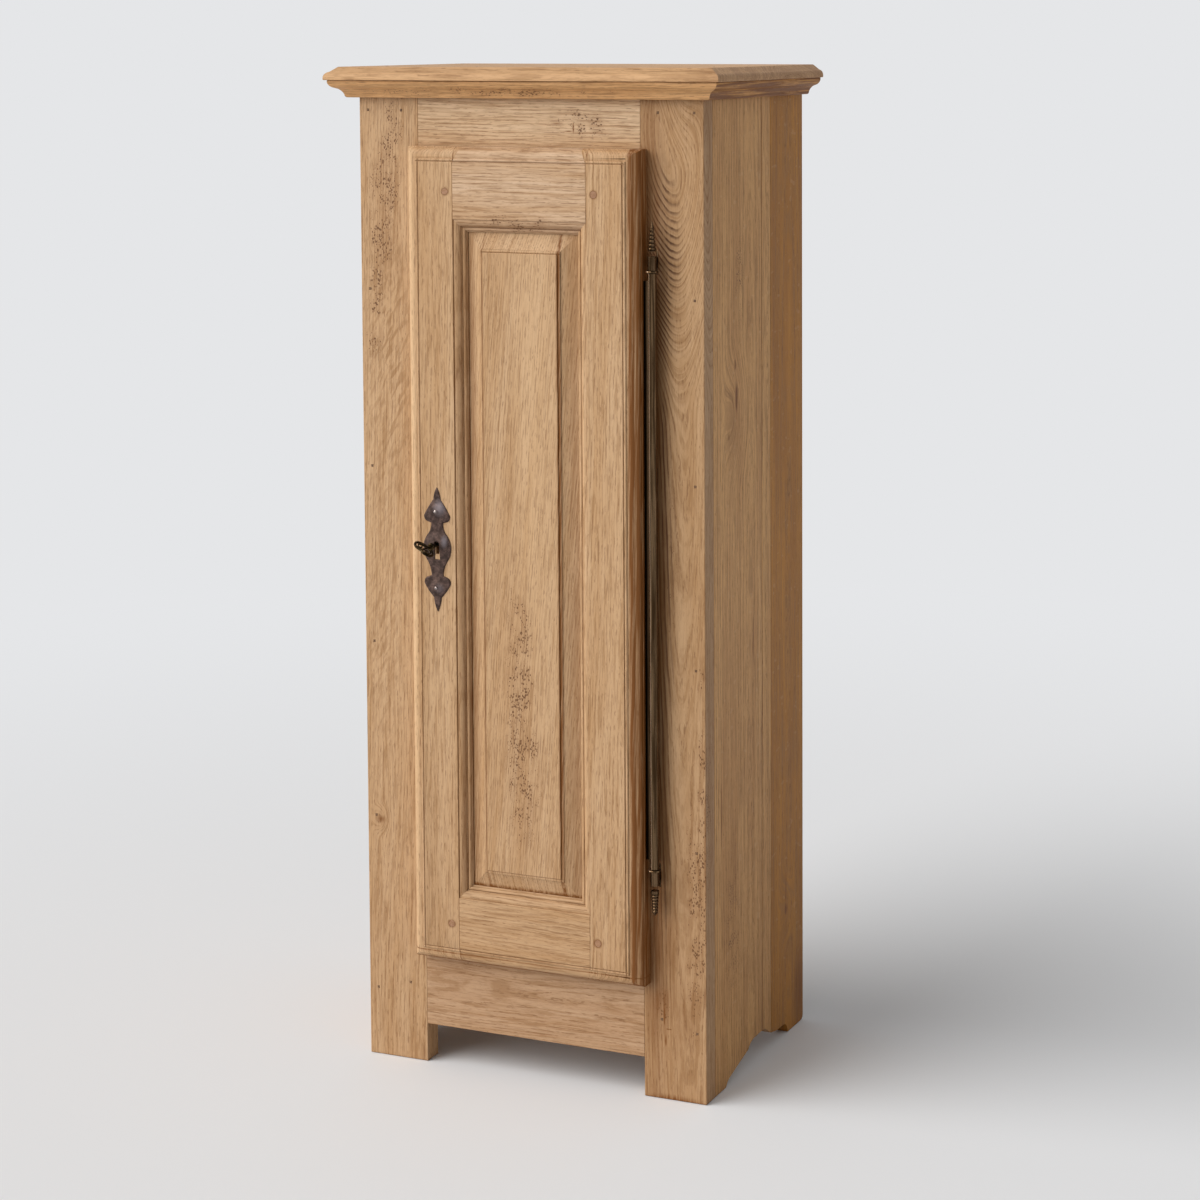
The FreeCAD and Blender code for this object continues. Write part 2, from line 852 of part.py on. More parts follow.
# Bottom, shelves and the cleats that carry them
inner_x = (-side_inner + s.board_gap, side_inner - s.board_gap)
bottom = block(
    "bottom_board_plain",
    inner_x,
    (s.frame_thick, back_inner),
    (s.opening_low - s.bottom_thick, s.opening_low),
)
doc.recompute()
piece("bottom_board", drilled("bottom_board_drilled", bottom, back_holes))
for place, level in shelf_levels.items():
    name = f"shelf_{place}"
    shelf = block(
        name + "_plain",
        inner_x,
        (s.frame_thick + s.shelf_setback, back_inner),
        (level - s.shelf_thick, level),
    )
    doc.recompute()
    piece(name, drilled(name + "_drilled", shelf, back_holes))
for side_name, sign in mirror_sides:
    across = sorted((sign * side_inner, sign * (side_inner - s.cleat_width)), key=float)
    for place, level in cleat_levels.items():
        label = f"cleat_{side_name}_{place}"
        made = block(
            label + "_plain",
            tuple(across),
            (cleat_start, cleat_end),
            (level - s.cleat_height, level),
        )
        doc.recompute()
        piece(label, drilled(label + "_drilled", made, cleat_holes))


# Top board: moulded on its front and both ends. It is what two long bars have in common, one
# with the outline of the ends and one with the outline of the front.
def top_edge(outside, direction):
    """The board's edge outline from its under side up, at one outer face."""
    return steps_of(
        TOP_EDGE_SHARES,
        lambda run, rise: (
            outside - direction * s.top_edge_run * run,
            top_under + s.top_thick * rise,
        ),
    )


top_half = half_width + s.top_overhang
top_front = -s.top_overhang
ends_outline = top_edge(top_half, 1) + backwards(top_edge(-top_half, -1))
front_outline = top_edge(top_front, -1) + [
    (back_inner, s.cabinet_height),
    (back_inner, top_under),
]
ends_bar = face(ends_outline, lambda x, z: vector(x, top_front - s.overrun, z)).extrude(
    vector(0, back_inner - top_front + s.overrun * 2, 0)
)
front_bar = face(front_outline, lambda y, z: vector(-top_half - s.overrun, y, z)).extrude(
    vector((top_half + s.overrun) * 2, 0, 0)
)
top = solid("top_board_plain", ends_bar.common(front_bar))
piece("top_board", drilled("top_board_drilled", top, top_holes))


# Bed mould: one outline, run along the front and both sides and mitred at the corners
def mitred(name, outline_place, run, mitre_corners):
    outline = steps_of(
        BED_MOULD_SHARES, lambda out, up: (s.mould_run * out, mould_low + s.mould_height * up)
    )
    length = face(outline, outline_place).extrude(run)
    plan = face(mitre_corners, lambda x, y: vector(x, y, mould_low - s.overrun))
    keep = plan.extrude(vector(0, 0, s.mould_height + s.overrun * 2))
    fixed(name, length.common(keep))


mitre_out = half_width + s.mould_run
mitred(
    "cornice_front",
    lambda out, z: vector(-mitre_out, -out, z),
    vector(mitre_out * 2, 0, 0),
    [(-half_width, 0), (-mitre_out, -s.mould_run), (mitre_out, -s.mould_run), (half_width, 0)],
)
for side_name, sign in mirror_sides:
    mitred(
        f"cornice_{side_name}",
        lambda out, z, sign=sign: vector(sign * (half_width + out), -s.mould_run, z),
        vector(0, back_inner + s.mould_run, 0),
        [
            (sign * half_width, 0),
            (sign * mitre_out, -s.mould_run),
            (sign * mitre_out, back_inner),
            (sign * half_width, back_inner),
        ],
    )

# Door. The blank has the lip, the rebate behind it and the outer moulding all round, and the
# two stiles and two rails are cut from it. Each has its own sticking and groove on its inner
# edge, mitred at the corners, and the moulded rim of a stile runs on a little past its joint.
rebate_half = opening_half - s.door_edge_gap
rebate_low = s.opening_low + s.door_edge_gap
rebate_high = opening_high - s.door_edge_gap
door_back = s.door_rebate_deep


def door_edge(outside, direction):
    """The outer moulding from the arris in to the flat."""
    return steps_of(
        DOOR_EDGE_SHARES,
        lambda run, drop: (
            outside - direction * s.door_mould_width * run,
            face_y + s.door_mould_deep * drop,
        ),
    )


def door_section(low, high, rebate_from, rebate_to):
    """The door's section across one way, from the lip round by the face and the rebate."""
    return (
        [(low, lip_back)]
        + door_edge(low, -1)
        + backwards(door_edge(high, 1))
        + [
            (high, lip_back),
            (rebate_to, lip_back),
            (rebate_to, door_back),
            (rebate_from, door_back),
            (rebate_from, lip_back),
        ]
    )


across_section = door_section(-door_half, door_half, -rebate_half, rebate_half)
upright_section = door_section(door_low, door_high, rebate_low, rebate_high)
upright_bar = face(across_section, lambda x, y: vector(x, y, door_low - s.overrun)).extrude(
    vector(0, 0, door_high - door_low + s.overrun * 2)
)
level_bar = face(upright_section, lambda z, y: vector(-door_half - s.overrun, y, z)).extrude(
    vector((door_half + s.overrun) * 2, 0, 0)
)
door_blank = upright_bar.common(level_bar)

joint_x = door_half - s.door_stile_width
sight_x = joint_x - s.sticking_width
joint_high = door_high - s.door_top_rail
joint_low = door_low + s.door_bottom_rail
sight_high = joint_high - s.sticking_width
sight_low = joint_low + s.sticking_width
groove_front = face_y + s.sticking_deep + s.groove_front_wall
groove_back = groove_front + s.groove_thick


def sticking(joint, direction):
    """The sticking's outline from the flat to the sight edge, closed off in front of the door."""
    edge = steps_of(
        STICKING_SHARES,
        lambda run, drop: (
            joint + direction * s.sticking_width * run,
            face_y + s.sticking_deep * drop,
        ),
    )
    past = joint + direction * (s.sticking_width + s.overrun)
    return edge + [(past, face_y + s.sticking_deep), (past, face_y - s.overrun)] + [
        (joint, face_y - s.overrun)
    ]


def groove(joint, direction):
    """The panel groove behind the sticking."""
    floor = joint + direction * (s.sticking_width - s.groove_deep)
    past = joint + direction * (s.sticking_width + s.overrun)
    return [(floor, groove_front), (past, groove_front), (past, groove_back), (floor, groove_back)]


def member(plan, edge_tools):
    """One stile or rail: the part of the blank over its plan, less its sticking and groove."""
    front = face_y - s.overrun
    prism = face(plan, lambda x, z: vector(x, front, z)).extrude(
        vector(0, door_back - front + s.overrun, 0)
    )
    return door_blank.common(prism).cut(edge_tools)


def upright_tools(sign):
    """Cutters along one stile's inner edge."""
    bars = [
        face(outline(sign * joint_x, -sign), lambda x, y: vector(x, y, door_low)).extrude(
            vector(0, 0, door_high - door_low)
        )
        for outline in (sticking, groove)
    ]
    return Part.makeCompound(bars)


def level_tools(joint, direction):
    """Cutters along one rail's inner edge."""
    bars = [
        face(outline(joint, direction), lambda z, y: vector(-door_half, y, z)).extrude(
            vector(door_half * 2, 0, 0)
        )
        for outline in (sticking, groove)
    ]
    return Part.makeCompound(bars)


flat_high = door_high - s.door_mould_width
flat_low = door_low + s.door_mould_width
rim_x = joint_x - s.joint_run_out


def stile_plan(sign):
    return [
        (sign * (door_half + s.overrun), door_low - s.overrun),
        (sign * rim_x, door_low - s.overrun),
        (sign * rim_x, door_low),
        (sign * joint_x, flat_low),
        (sign * joint_x, joint_low),
        (sign * sight_x, sight_low),
        (sign * sight_x, sight_high),
        (sign * joint_x, joint_high),
        (sign * joint_x, flat_high),
        (sign * rim_x, door_high),
        (sign * rim_x, door_high + s.overrun),
        (sign * (door_half + s.overrun), door_high + s.overrun),
    ]


def rail_plan(outer, way, flat, joint, sight):
    beyond = outer + way * s.overrun
    return [
        (-rim_x, beyond),
        (-rim_x, outer),
        (-joint_x, flat),
        (-joint_x, joint),
        (-sight_x, sight),
        (sight_x, sight),
        (joint_x, joint),
        (joint_x, flat),
        (rim_x, outer),
        (rim_x, beyond),
    ]


# Tenons of the door rails, in line with the groove, and the pegs that hold them
tenon_middle = (groove_front + groove_back) / 2
door_tenon_y = (tenon_middle - s.door_tenon_thick / 2, tenon_middle + s.door_tenon_thick / 2)
door_rails = {
    "top": (door_high, 1, flat_high, joint_high, sight_high),
    "bottom": (door_low, -1, flat_low, joint_low, sight_low),
}


def door_tenon(place, spare=0):
    outer, way, flat, joint, _ = door_rails[place]
    ends = sorted((joint + way * s.door_tenon_margin, flat - way * s.door_tenon_margin), key=float)
    reach = joint_x + s.door_tenon_long + spare
    low = vector(-reach, door_tenon_y[0] - spare, ends[0] - spare)
    high = vector(reach, door_tenon_y[1] + spare, ends[1] + spare)
    return Part.makeBox(high.x - low.x, high.y - low.y, high.z - low.z, low)


def eight_sided(across, place_x, place_z, front, length):
    """An eight-sided bar from its front end towards the back."""
    radius = float(across / 2)
    corners = [
        vector(
            place_x + radius * math.cos(math.radians(45 * turn)),
            front,
            place_z + radius * math.sin(math.radians(45 * turn)),
        )
        for turn in range(8)
    ]
    return Part.Face(Part.makePolygon(corners + corners[:1])).extrude(vector(0, length, 0))


def peg(place_x, place_z, spare=0):
    """A riven peg from the door's face into the tenon."""
    return eight_sided(s.peg_across + spare * 2, place_x, place_z, face_y, s.peg_long + spare)


peg_places = [
    (sign * (joint_x + s.peg_in), door_rails[place][3] + door_rails[place][1] * s.peg_up)
    for place in door_rails
    for _, sign in mirror_sides
]
peg_holes = Part.makeCompound([peg(*place, spare=s.peg_gap) for place in peg_places])
fixed("door_pegs", Part.makeCompound([peg(*place) for place in peg_places]))

for place, (outer, way, flat, joint, sight) in door_rails.items():
    shape = member(rail_plan(outer, way, flat, joint, sight), level_tools(joint, -way))
    shape = shape.fuse(door_tenon(place)).cut(peg_holes).removeSplitter()
    fixed(f"door_rail_{place}", shape)

mortises = Part.makeCompound([door_tenon(place, s.tenon_gap) for place in door_rails])


# Keyhole through the stile: round for the shank, with a slot below it for the bit
def keyhole(name, radius, half_slot, drop, front, back):
    hole = rod(name + "_eye", (key_x, front, key_height), radius, back - front, "y")
    slot = block(
        name + "_slot",
        (key_x - half_slot, key_x + half_slot),
        (front, back),
        (key_height - drop, key_height),
    )
    return fuse(name, hole, slot)


plate_nail_z = [
    key_height + s.plate_top_above_key - s.plate_high * share for share in PLATE_NAIL_SHARES
]
plate_front = face_y - s.plate_thick
plate_crown = plate_front - s.dome_rise


def plate_nail(place_z, spare=0):
    """A small square nail with a faceted head on a dome of the escutcheon."""
    half = s.plate_nail_thick / 2 + spare
    low = vector(key_x - half, plate_crown, place_z - half)
    length = s.plate_thick + s.dome_rise + s.plate_nail_long + spare
    shank = Part.makeBox(float(half * 2), float(length), float(half * 2), low)
    if spare:
        return shank
    head_front = plate_crown - s.plate_nail_head_thick
    head = eight_sided(s.plate_nail_head, key_x, place_z, head_front, s.plate_nail_head_thick)
    return shank.fuse(head)


plate_holes = Part.makeCompound([plate_nail(place_z, s.nail_gap) for place_z in plate_nail_z])
fixed("escutcheon_nails", Part.makeCompound([plate_nail(place_z) for place_z in plate_nail_z]))

lock_stile = member(stile_plan(-1), upright_tools(-1)).cut(mortises).cut(peg_holes).cut(plate_holes)
wood_keyhole = keyhole(
    "stile_keyhole",
    s.keyhole_radius,
    s.keyway_wide / 2,
    s.keyway_drop,
    face_y - s.overrun,
    door_back + s.overrun,
)
made = cut("door_stile_lock_bored", solid("door_stile_lock_plain", lock_stile), wood_keyhole)
doc.recompute()
piece("door_stile_lock", drilled("door_stile_lock_drilled", made, lock_holes))

hinge_stile = member(stile_plan(1), upright_tools(1)).cut(mortises).cut(peg_holes)
leaf_back = hinge_y + s.barrel_radius
leaf_seat = block(
    "leaf_seat",
    (door_half - s.leaf_bite - s.leaf_fit, door_half + s.overrun),
    (leaf_back - s.leaf_thick - s.leaf_fit, leaf_back + s.leaf_fit),
    (leaf_low - s.leaf_fit, leaf_high + s.leaf_fit),
)
made = cut("door_stile_hinge_slotted", solid("door_stile_hinge_plain", hinge_stile), leaf_seat)
doc.recompute()
piece("door_stile_hinge", drilled("door_stile_hinge_drilled", made, door_leaf_holes))

# Panel: a tongue all round in the groove, a wide bevel, a small bead and the raised field
tongue_front = groove_front + s.panel_fit
tongue_back = groove_back - s.panel_fit
tongue_past = s.groove_deep - s.panel_end_gap
bevel_top = tongue_front - s.panel_bevel_rise
field_y = face_y + s.field_setback


def panel_edge(sight, way):
    """The panel's front outline from its tongue in to the field; way points outwards."""
    inner = sight - way * s.panel_bevel
    bead = inner - way * s.panel_bead
    crown = bevel_top - s.panel_bead_step * 2
    return [
        (sight + way * tongue_past, tongue_back),
        (sight + way * tongue_past, tongue_front),
        (sight, tongue_front),
        (inner, bevel_top),
        (inner, bevel_top - s.panel_bead_step),
        (bead, bevel_top - s.panel_bead_step, (inner + bead) / 2, crown),
        (bead, field_y),
    ]


panel_across = panel_edge(sight_x, 1) + backwards(panel_edge(-sight_x, -1))
panel_upright = panel_edge(sight_high, 1) + backwards(panel_edge(sight_low, -1))
panel_a = face(panel_across, lambda x, y: vector(x, y, door_low)).extrude(
    vector(0, 0, door_high - door_low)
)
panel_b = face(panel_upright, lambda z, y: vector(-door_half, y, z)).extrude(
    vector(door_half * 2, 0, 0)
)
fixed("door_panel", panel_a.common(panel_b))

# Rod hinge. The long barrel and its leaf belong to the door; the rod, the collars, the
# knuckles with their leaves and the turned finials belong to the frame.
barrel_low = collar_low + s.collar_thick / 2 + s.turn_gap
barrel_high = collar_high - s.collar_thick / 2 - s.turn_gap
bore = s.rod_radius + s.rod_fit
barrel = rod("barrel_bar", (hinge_x, hinge_y, barrel_low), s.barrel_radius, barrel_high - barrel_low)
leaf = block(
    "barrel_leaf",
    (door_half - s.leaf_bite, hinge_x),
    (leaf_back - s.leaf_thick, leaf_back),
    (leaf_low, leaf_high),
)
barrel_bore = rod(
    "barrel_bore",
    (hinge_x, hinge_y, barrel_low - s.overrun),
    bore,
    barrel_high - barrel_low + s.overrun * 2,
)
made = cut("hinge_barrel_bored", fuse("hinge_barrel_fused", barrel, leaf), barrel_bore)
doc.recompute()
piece("hinge_barrel", drilled("hinge_barrel_drilled", made, door_leaf_holes))

rod_low = collar_low - s.collar_thick / 2 - s.knuckle_long
rod_high = collar_high + s.collar_thick / 2 + s.knuckle_long
piece(
    "hinge_rod",
    rod("hinge_rod_bar", (hinge_x, hinge_y, rod_low), s.rod_radius, rod_high - rod_low),
)
collars = [
    cut(
        f"collar_{name}_ring",
        rod(
            f"collar_{name}_disc",
            (hinge_x, hinge_y, level - s.collar_thick / 2),
            s.collar_radius,
            s.collar_thick,
        ),
        rod(
            f"collar_{name}_bore",
            (hinge_x, hinge_y, level - s.overrun),
            bore,
            s.overrun * 2,
        ),
    )
    for name, level in (("low", collar_low), ("high", collar_high))
]
piece("hinge_collars", together("hinge_collars_pair", collars))

def finial_outline(base, length):
    """Half a finial's section: a disc, a turned double cone and a bud that tapers to the tip."""
    disc, knob, waist, bud = (base + length * share for share in FINIAL_SHARES)
    return [
        (0, base),
        (s.finial_disc_radius, base),
        (s.finial_disc_radius, disc),
        (s.finial_neck_radius, disc),
        (s.finial_knob_radius, knob),
        (s.finial_neck_radius, waist),
        (s.finial_bud_radius, bud),
        (s.finial_tip_radius, base + length),
        (0, base + length),
    ]


knuckles = []
finials = []
for place, (start, way) in knuckle_levels.items():
    low, high = sorted((start, start + way * s.knuckle_long), key=float)
    tube = rod(f"knuckle_{place}_bar", (hinge_x, hinge_y, low), s.barrel_radius, s.knuckle_long)
    neck = block(
        f"knuckle_{place}_neck",
        (hinge_x - s.leaf_thick / 2, hinge_x + s.leaf_thick / 2),
        (hinge_y, 0),
        (low + s.frame_leaf_tuck, high - s.frame_leaf_tuck),
    )
    tail = block(
        f"knuckle_{place}_tail",
        (hinge_x - s.leaf_thick / 2, hinge_x + s.leaf_thick / 2),
        (0, s.frame_leaf_deep),
        (low - s.frame_leaf_spread, high + s.frame_leaf_spread),
    )
    tunnel = rod(
        f"knuckle_{place}_bore",
        (hinge_x, hinge_y, low - s.overrun),
        bore,
        s.knuckle_long + s.overrun * 2,
    )
    made = cut(f"knuckle_{place}_bored", fuse(f"knuckle_{place}_fused", tube, neck, tail), tunnel)
    doc.recompute()
    knuckles.append(drilled(f"knuckle_{place}_drilled", made, frame_leaf_holes))
    length = s.upper_finial_long if way > 0 else s.lower_finial_long
    base = start + way * s.knuckle_long
    body = doc.addObject("PartDesign::Body", f"finial_{place}")
    outline = finial_outline(base, way * length)
    profile = sketch(body, "XZ_Plane", f"finial_{place}_profile", outline)
    turned = body.newObject("PartDesign::Revolution", f"finial_{place}_turned")
    turned.Profile = profile
    turned.ReferenceAxis = (profile, ["V_Axis"])
    turned.Angle = 360
    bind(body, "Placement.Base.x", hinge_x)
    bind(body, "Placement.Base.y", hinge_y)
    finials.append(body)
piece("hinge_knuckles", together("hinge_knuckle_pair", knuckles))
piece("hinge_finials", together("hinge_finial_pair", finials))

# Rim lock on the back of the lock stile: an open case, a cover against the wood, a bolt with a
# talon that the key's bit throws, and a bow spring that presses on the bolt
outer_case = block(
    "case_outer", (case_left, case_right), (case_front, case_back), (case_low, case_high)
)
inner_case = block(
    "case_inner",
    (case_left + s.case_wall, case_right - s.case_wall),
    (case_front - s.overrun, case_back - s.case_wall),
    (case_low + s.case_wall, case_high - s.case_wall),
)
bolt_port = block(
    "case_bolt_port",
    (case_left - s.overrun, case_left + s.case_wall * 2),
    (bolt_front - s.bolt_fit, bolt_back + s.bolt_fit),
    (bolt_low - s.bolt_fit, bolt_high + s.bolt_fit),
)
pilot = rod(
    "case_pilot",
    (key_x, case_back - s.case_wall * 2, key_height),
    s.key_tip_radius + s.rod_fit,
    s.case_wall * 3,
    "y",
)
bolt_middle = (bolt_low + bolt_high) / 2
stump = rod(
    "case_stump",
    (case_right - s.stump_in, case_front, bolt_middle),
    s.stump_radius,
    s.case_deep,
    "y",
)
shell = cut("case_shell", outer_case, fuse("case_cuts", inner_case, bolt_port, pilot))
made = fuse("case_with_stump", shell, stump)
doc.recompute()
piece("lock_case", drilled("lock_case_drilled", made, lock_holes))
cover = block("cover_plain", (case_left, case_right), (cover_y, case_front), (case_low, case_high))
cover_keyhole = keyhole(
    "cover_keyhole",
    s.keyhole_radius,
    s.keyway_wide / 2,
    s.keyway_drop,
    cover_y - s.overrun / 2,
    case_front + s.overrun / 2,
)
made = cut("cover_bored", cover, cover_keyhole)
doc.recompute()
piece("lock_cover", drilled("lock_cover_drilled", made, lock_holes))

# Bolt, at the place that the resting turn of the key gives it
rest_throw = s.bolt_throw * s.key_rest_turn / 360
bolt_tip = case_left + s.bolt_rest_gap - rest_throw
fork_end = case_right - s.stump_in - s.fork_high
bolt_outline = [
    (bolt_tip, bolt_low),
    (talon_middle - s.talon_wide / 2, bolt_low),
    (talon_middle - s.talon_wide / 2, bolt_low + s.talon_deep),
    (talon_middle + s.talon_wide / 2, bolt_low + s.talon_deep),
    (talon_middle + s.talon_wide / 2, bolt_low),
    (bolt_tail, bolt_low),
    (bolt_tail, bolt_middle - s.fork_high / 2),
    (fork_end, bolt_middle - s.fork_high / 2),
    (fork_end, bolt_middle + s.fork_high / 2),
    (bolt_tail, bolt_middle + s.fork_high / 2),
    (bolt_tail, bolt_high),
    (bolt_tip, bolt_high),
]
bolt = padded_body("lock_bolt_body", "XZ_Plane", bolt_outline, -bolt_back, -bolt_front)
piece("lock_bolt", bolt)

spring_top = case_high - s.case_wall
spring_low = bolt_high + s.turn_gap
spring_left = case_left + s.spring_margin
spring_right = case_right - s.spring_margin
foot_left = (spring_left + spring_right - s.spring_foot) / 2
foot_right = foot_left + s.spring_foot
spring_outline = [
    (spring_left, spring_top),
    (foot_left, spring_low + s.spring_thick),
    (foot_right, spring_low + s.spring_thick),
    (spring_right, spring_top),
    (spring_right, spring_top - s.spring_thick),
    (foot_right, spring_low),
    (foot_left, spring_low),
    (spring_left, spring_top - s.spring_thick),
]
spring_front = strike_middle - s.spring_wide / 2
spring = padded_body(
    "bolt_spring_body", "XZ_Plane", spring_outline, -(spring_front + s.spring_wide), -spring_front
)
piece("bolt_spring", spring)

# Strike plate, let in flush on the inner edge of the left stile
strike = block(
    "strike_plain",
    (-opening_half - s.strike_thick, -opening_half),
    (strike_middle - s.strike_wide / 2, strike_middle + s.strike_wide / 2),
    (bolt_low - s.strike_margin, bolt_high + s.strike_margin),
)
strike_port = block(
    "strike_port",
    (-opening_half - s.strike_thick - s.overrun, -opening_half + s.overrun),
    (bolt_front - s.bolt_fit, bolt_back + s.bolt_fit),
    (bolt_low - s.bolt_fit, bolt_high + s.bolt_fit),
)
made = cut("strike_bored", strike, strike_port)
doc.recompute()
piece("strike_plate", drilled("strike_plate_drilled", made, strike_holes))

# Escutcheon: a forged plate with a spear, two hearts, a tail and a belly round the keyhole
plate_top = key_height + s.plate_top_above_key
plate_outline = [
    step
    for sign, turned in ((1, list), (-1, backwards))
    for step in turned(
        steps_of(
            PLATE_SHARES,
            lambda out, down, sign=sign: (
                key_x + sign * s.plate_half * out,
                plate_top - s.plate_high * down,
            ),
        )
    )
]
plate = face(plate_outline, lambda x, z: vector(x, face_y, z)).extrude(
    vector(0, -s.plate_thick, 0)
)
outward = vector(0, -1, 0)
boss_rows = [(key_height, s.boss_radius, s.boss_top_radius)] + [
    (place_z, s.lobe_boss_radius, s.lobe_boss_top_radius) for place_z in plate_nail_z
]
for place_z, foot, top_radius in boss_rows:
    boss = Part.makeCone(
        float(foot),
        float(top_radius),
        float(s.dome_rise),
        vector(key_x, plate_front, place_z),
        outward,
    )
    plate = plate.fuse(boss)
plate = plate.cut(plate_holes)
plate_keyhole = keyhole(
    "plate_keyhole",
    s.keyhole_radius,
    s.keyhole_radius,
    s.keyhole_drop,
    plate_front - s.overrun,
    face_y + s.overrun,
)
piece("escutcheon", cut("escutcheon_bored", solid("escutcheon_plain", plate), plate_keyhole))

# Key, drawn with its bow upright and its bit down, and then turned to where it rests
bit_front = case_front + s.bit_start
tip = case_back
bow_back = s.bow_long - s.key_reach
key = doc.addObject("PartDesign::Body", "key_body")
shank_outline = [
    (0, bow_back - s.bow_band),
    (s.key_shank_radius, bow_back - s.bow_band),
    (s.key_shank_radius, bow_back + s.key_collar_gap),
    (s.key_collar_radius, bow_back + s.key_collar_gap),
    (s.key_collar_radius, bow_back + s.key_collar_gap + s.key_collar_long),
    (s.key_shank_radius, bow_back + s.key_collar_gap + s.key_collar_long),
    (s.key_shank_radius, bit_front + s.bit_long),
    (s.key_tip_radius, bit_front + s.bit_long),
    (s.key_tip_radius, tip),
    (0, tip),
]
shank = sketch(key, "XY_Plane", "key_shank_profile", shank_outline)
turned = key.newObject("PartDesign::Revolution", "key_shank")
turned.Profile = shank
turned.ReferenceAxis = (shank, ["V_Axis"])
turned.Angle = 360
doc.recompute()
bow_middle = s.bow_long / 2 - s.key_reach
half_bow = s.bow_wide / 2
half_long = s.bow_long / 2
swell_out, swell_along = (half_bow * BOW_SWELL_SHARE, half_long * BOW_SWELL_SHARE)
bow_outline = [
    (bow_middle, half_bow, bow_middle + swell_along, swell_out),
    (bow_middle - half_long, 0, bow_middle - swell_along, swell_out),
    (bow_middle, -half_bow, bow_middle - swell_along, -swell_out),
    (bow_middle + half_long, 0, bow_middle + swell_along, -swell_out),
]
bow = sketch(key, "YZ_Plane", "key_bow_profile", bow_outline)
hole_half = half_bow - s.bow_band
hole_long = half_long - s.bow_band
hole_end, hole_swell, hole_swell_out = (
    size * share for size, share in zip((hole_long, hole_long, hole_half), BOW_HOLE_SHARES)
)
for sign in (1, -1):
    rib = sign * s.bow_band / 2
    swell = sign * hole_swell_out
    draw(
        bow,
        [
            (bow_middle + hole_end, rib),
            (bow_middle, sign * hole_half, bow_middle + hole_swell, swell),
            (bow_middle - hole_end, rib, bow_middle - hole_swell, swell),
        ],
    )
bow_pad = key.newObject("PartDesign::Pad", "key_bow")
bow_pad.Profile = bow
bind(bow_pad, "Length", s.bow_thick)
bow_pad.Midplane = True
doc.recompute()
bit_outline = [
    (bit_front, 0),
    (bit_front, -s.bit_radius),
    (bit_front + s.bit_long, -s.bit_radius),
    (bit_front + s.bit_long, 0),
]
bit = sketch(key, "YZ_Plane", "key_bit_profile", bit_outline)
bit_pad = key.newObject("PartDesign::Pad", "key_bit")
bit_pad.Profile = bit
bind(bit_pad, "Length", s.bit_thick)
bit_pad.Midplane = True
doc.recompute()
key.Placement = FreeCAD.Placement(
    vector(key_x, to_middle, key_height),
    FreeCAD.Rotation(FreeCAD.Vector(0, -1, 0), float(s.key_rest_turn)),
)
key.Label = "key"
pieces.append(key)

doc.recompute()
for item in doc.Objects:
    if "Invalid" in item.State or "Error" in item.State:
        raise RuntimeError(f"{item.Name} did not build: {item.State}")
os.makedirs("parts", exist_ok=True)
for item in pieces:
    if item.Shape.isNull() or not item.Shape.isValid() or not item.Shape.Solids:
        raise RuntimeError(f"{item.Label} has no valid solid")
    item.Shape.exportStep(f"parts/{item.Label}.step")
print(len(pieces), "sub-parts written")
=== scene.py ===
# %% [markdown]
# # An oak linen cabinet
# The cabinet is a narrow case of pale, stripped oak: a face frame with one panelled door, a
# moulded top, nailed sides, a long rod hinge, and a forged plate with a key. The frame that
# comes in holds every board at its real place. This lesson gives the boards their worn edges
# and their wood, and makes the ironwork in full, so that it looks like the real one.

# %% Load the frame
import json
import math
import random

import bmesh
import bpy
from mathutils import Matrix, Vector
from mathutils import noise as chance_field
from mathutils.geometry import delaunay_2d_cdt, intersect_point_line

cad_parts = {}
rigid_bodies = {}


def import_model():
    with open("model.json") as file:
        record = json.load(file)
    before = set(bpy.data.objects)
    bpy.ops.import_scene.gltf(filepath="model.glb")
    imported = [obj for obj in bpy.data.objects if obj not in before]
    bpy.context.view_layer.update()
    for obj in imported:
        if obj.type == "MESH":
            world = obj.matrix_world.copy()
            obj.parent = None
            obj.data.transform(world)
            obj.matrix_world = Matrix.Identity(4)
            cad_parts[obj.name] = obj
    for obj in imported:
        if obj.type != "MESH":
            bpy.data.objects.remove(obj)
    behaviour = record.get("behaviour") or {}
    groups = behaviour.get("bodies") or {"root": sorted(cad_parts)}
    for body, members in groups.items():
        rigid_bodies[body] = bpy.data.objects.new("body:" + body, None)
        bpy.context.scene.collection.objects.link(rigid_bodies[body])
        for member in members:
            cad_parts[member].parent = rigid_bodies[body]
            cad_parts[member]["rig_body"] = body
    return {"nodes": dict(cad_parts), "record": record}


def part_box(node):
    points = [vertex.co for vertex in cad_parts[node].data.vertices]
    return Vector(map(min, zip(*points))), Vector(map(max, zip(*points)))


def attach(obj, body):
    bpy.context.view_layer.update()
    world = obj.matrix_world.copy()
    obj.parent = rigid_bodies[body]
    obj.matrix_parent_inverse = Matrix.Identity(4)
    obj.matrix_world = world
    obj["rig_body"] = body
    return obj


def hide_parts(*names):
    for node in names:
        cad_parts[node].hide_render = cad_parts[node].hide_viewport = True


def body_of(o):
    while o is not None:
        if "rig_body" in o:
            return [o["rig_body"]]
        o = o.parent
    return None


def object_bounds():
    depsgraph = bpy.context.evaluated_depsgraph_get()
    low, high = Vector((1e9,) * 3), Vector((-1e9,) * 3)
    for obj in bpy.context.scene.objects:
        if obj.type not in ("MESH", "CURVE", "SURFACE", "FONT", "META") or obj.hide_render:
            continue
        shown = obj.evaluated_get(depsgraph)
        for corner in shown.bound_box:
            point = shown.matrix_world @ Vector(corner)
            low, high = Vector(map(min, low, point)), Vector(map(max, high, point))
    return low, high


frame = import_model()
cad_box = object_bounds()
node_names = sorted(frame["nodes"])
print(len(node_names), "nodes, box", [round(v, 4) for corner in cad_box for v in corner])

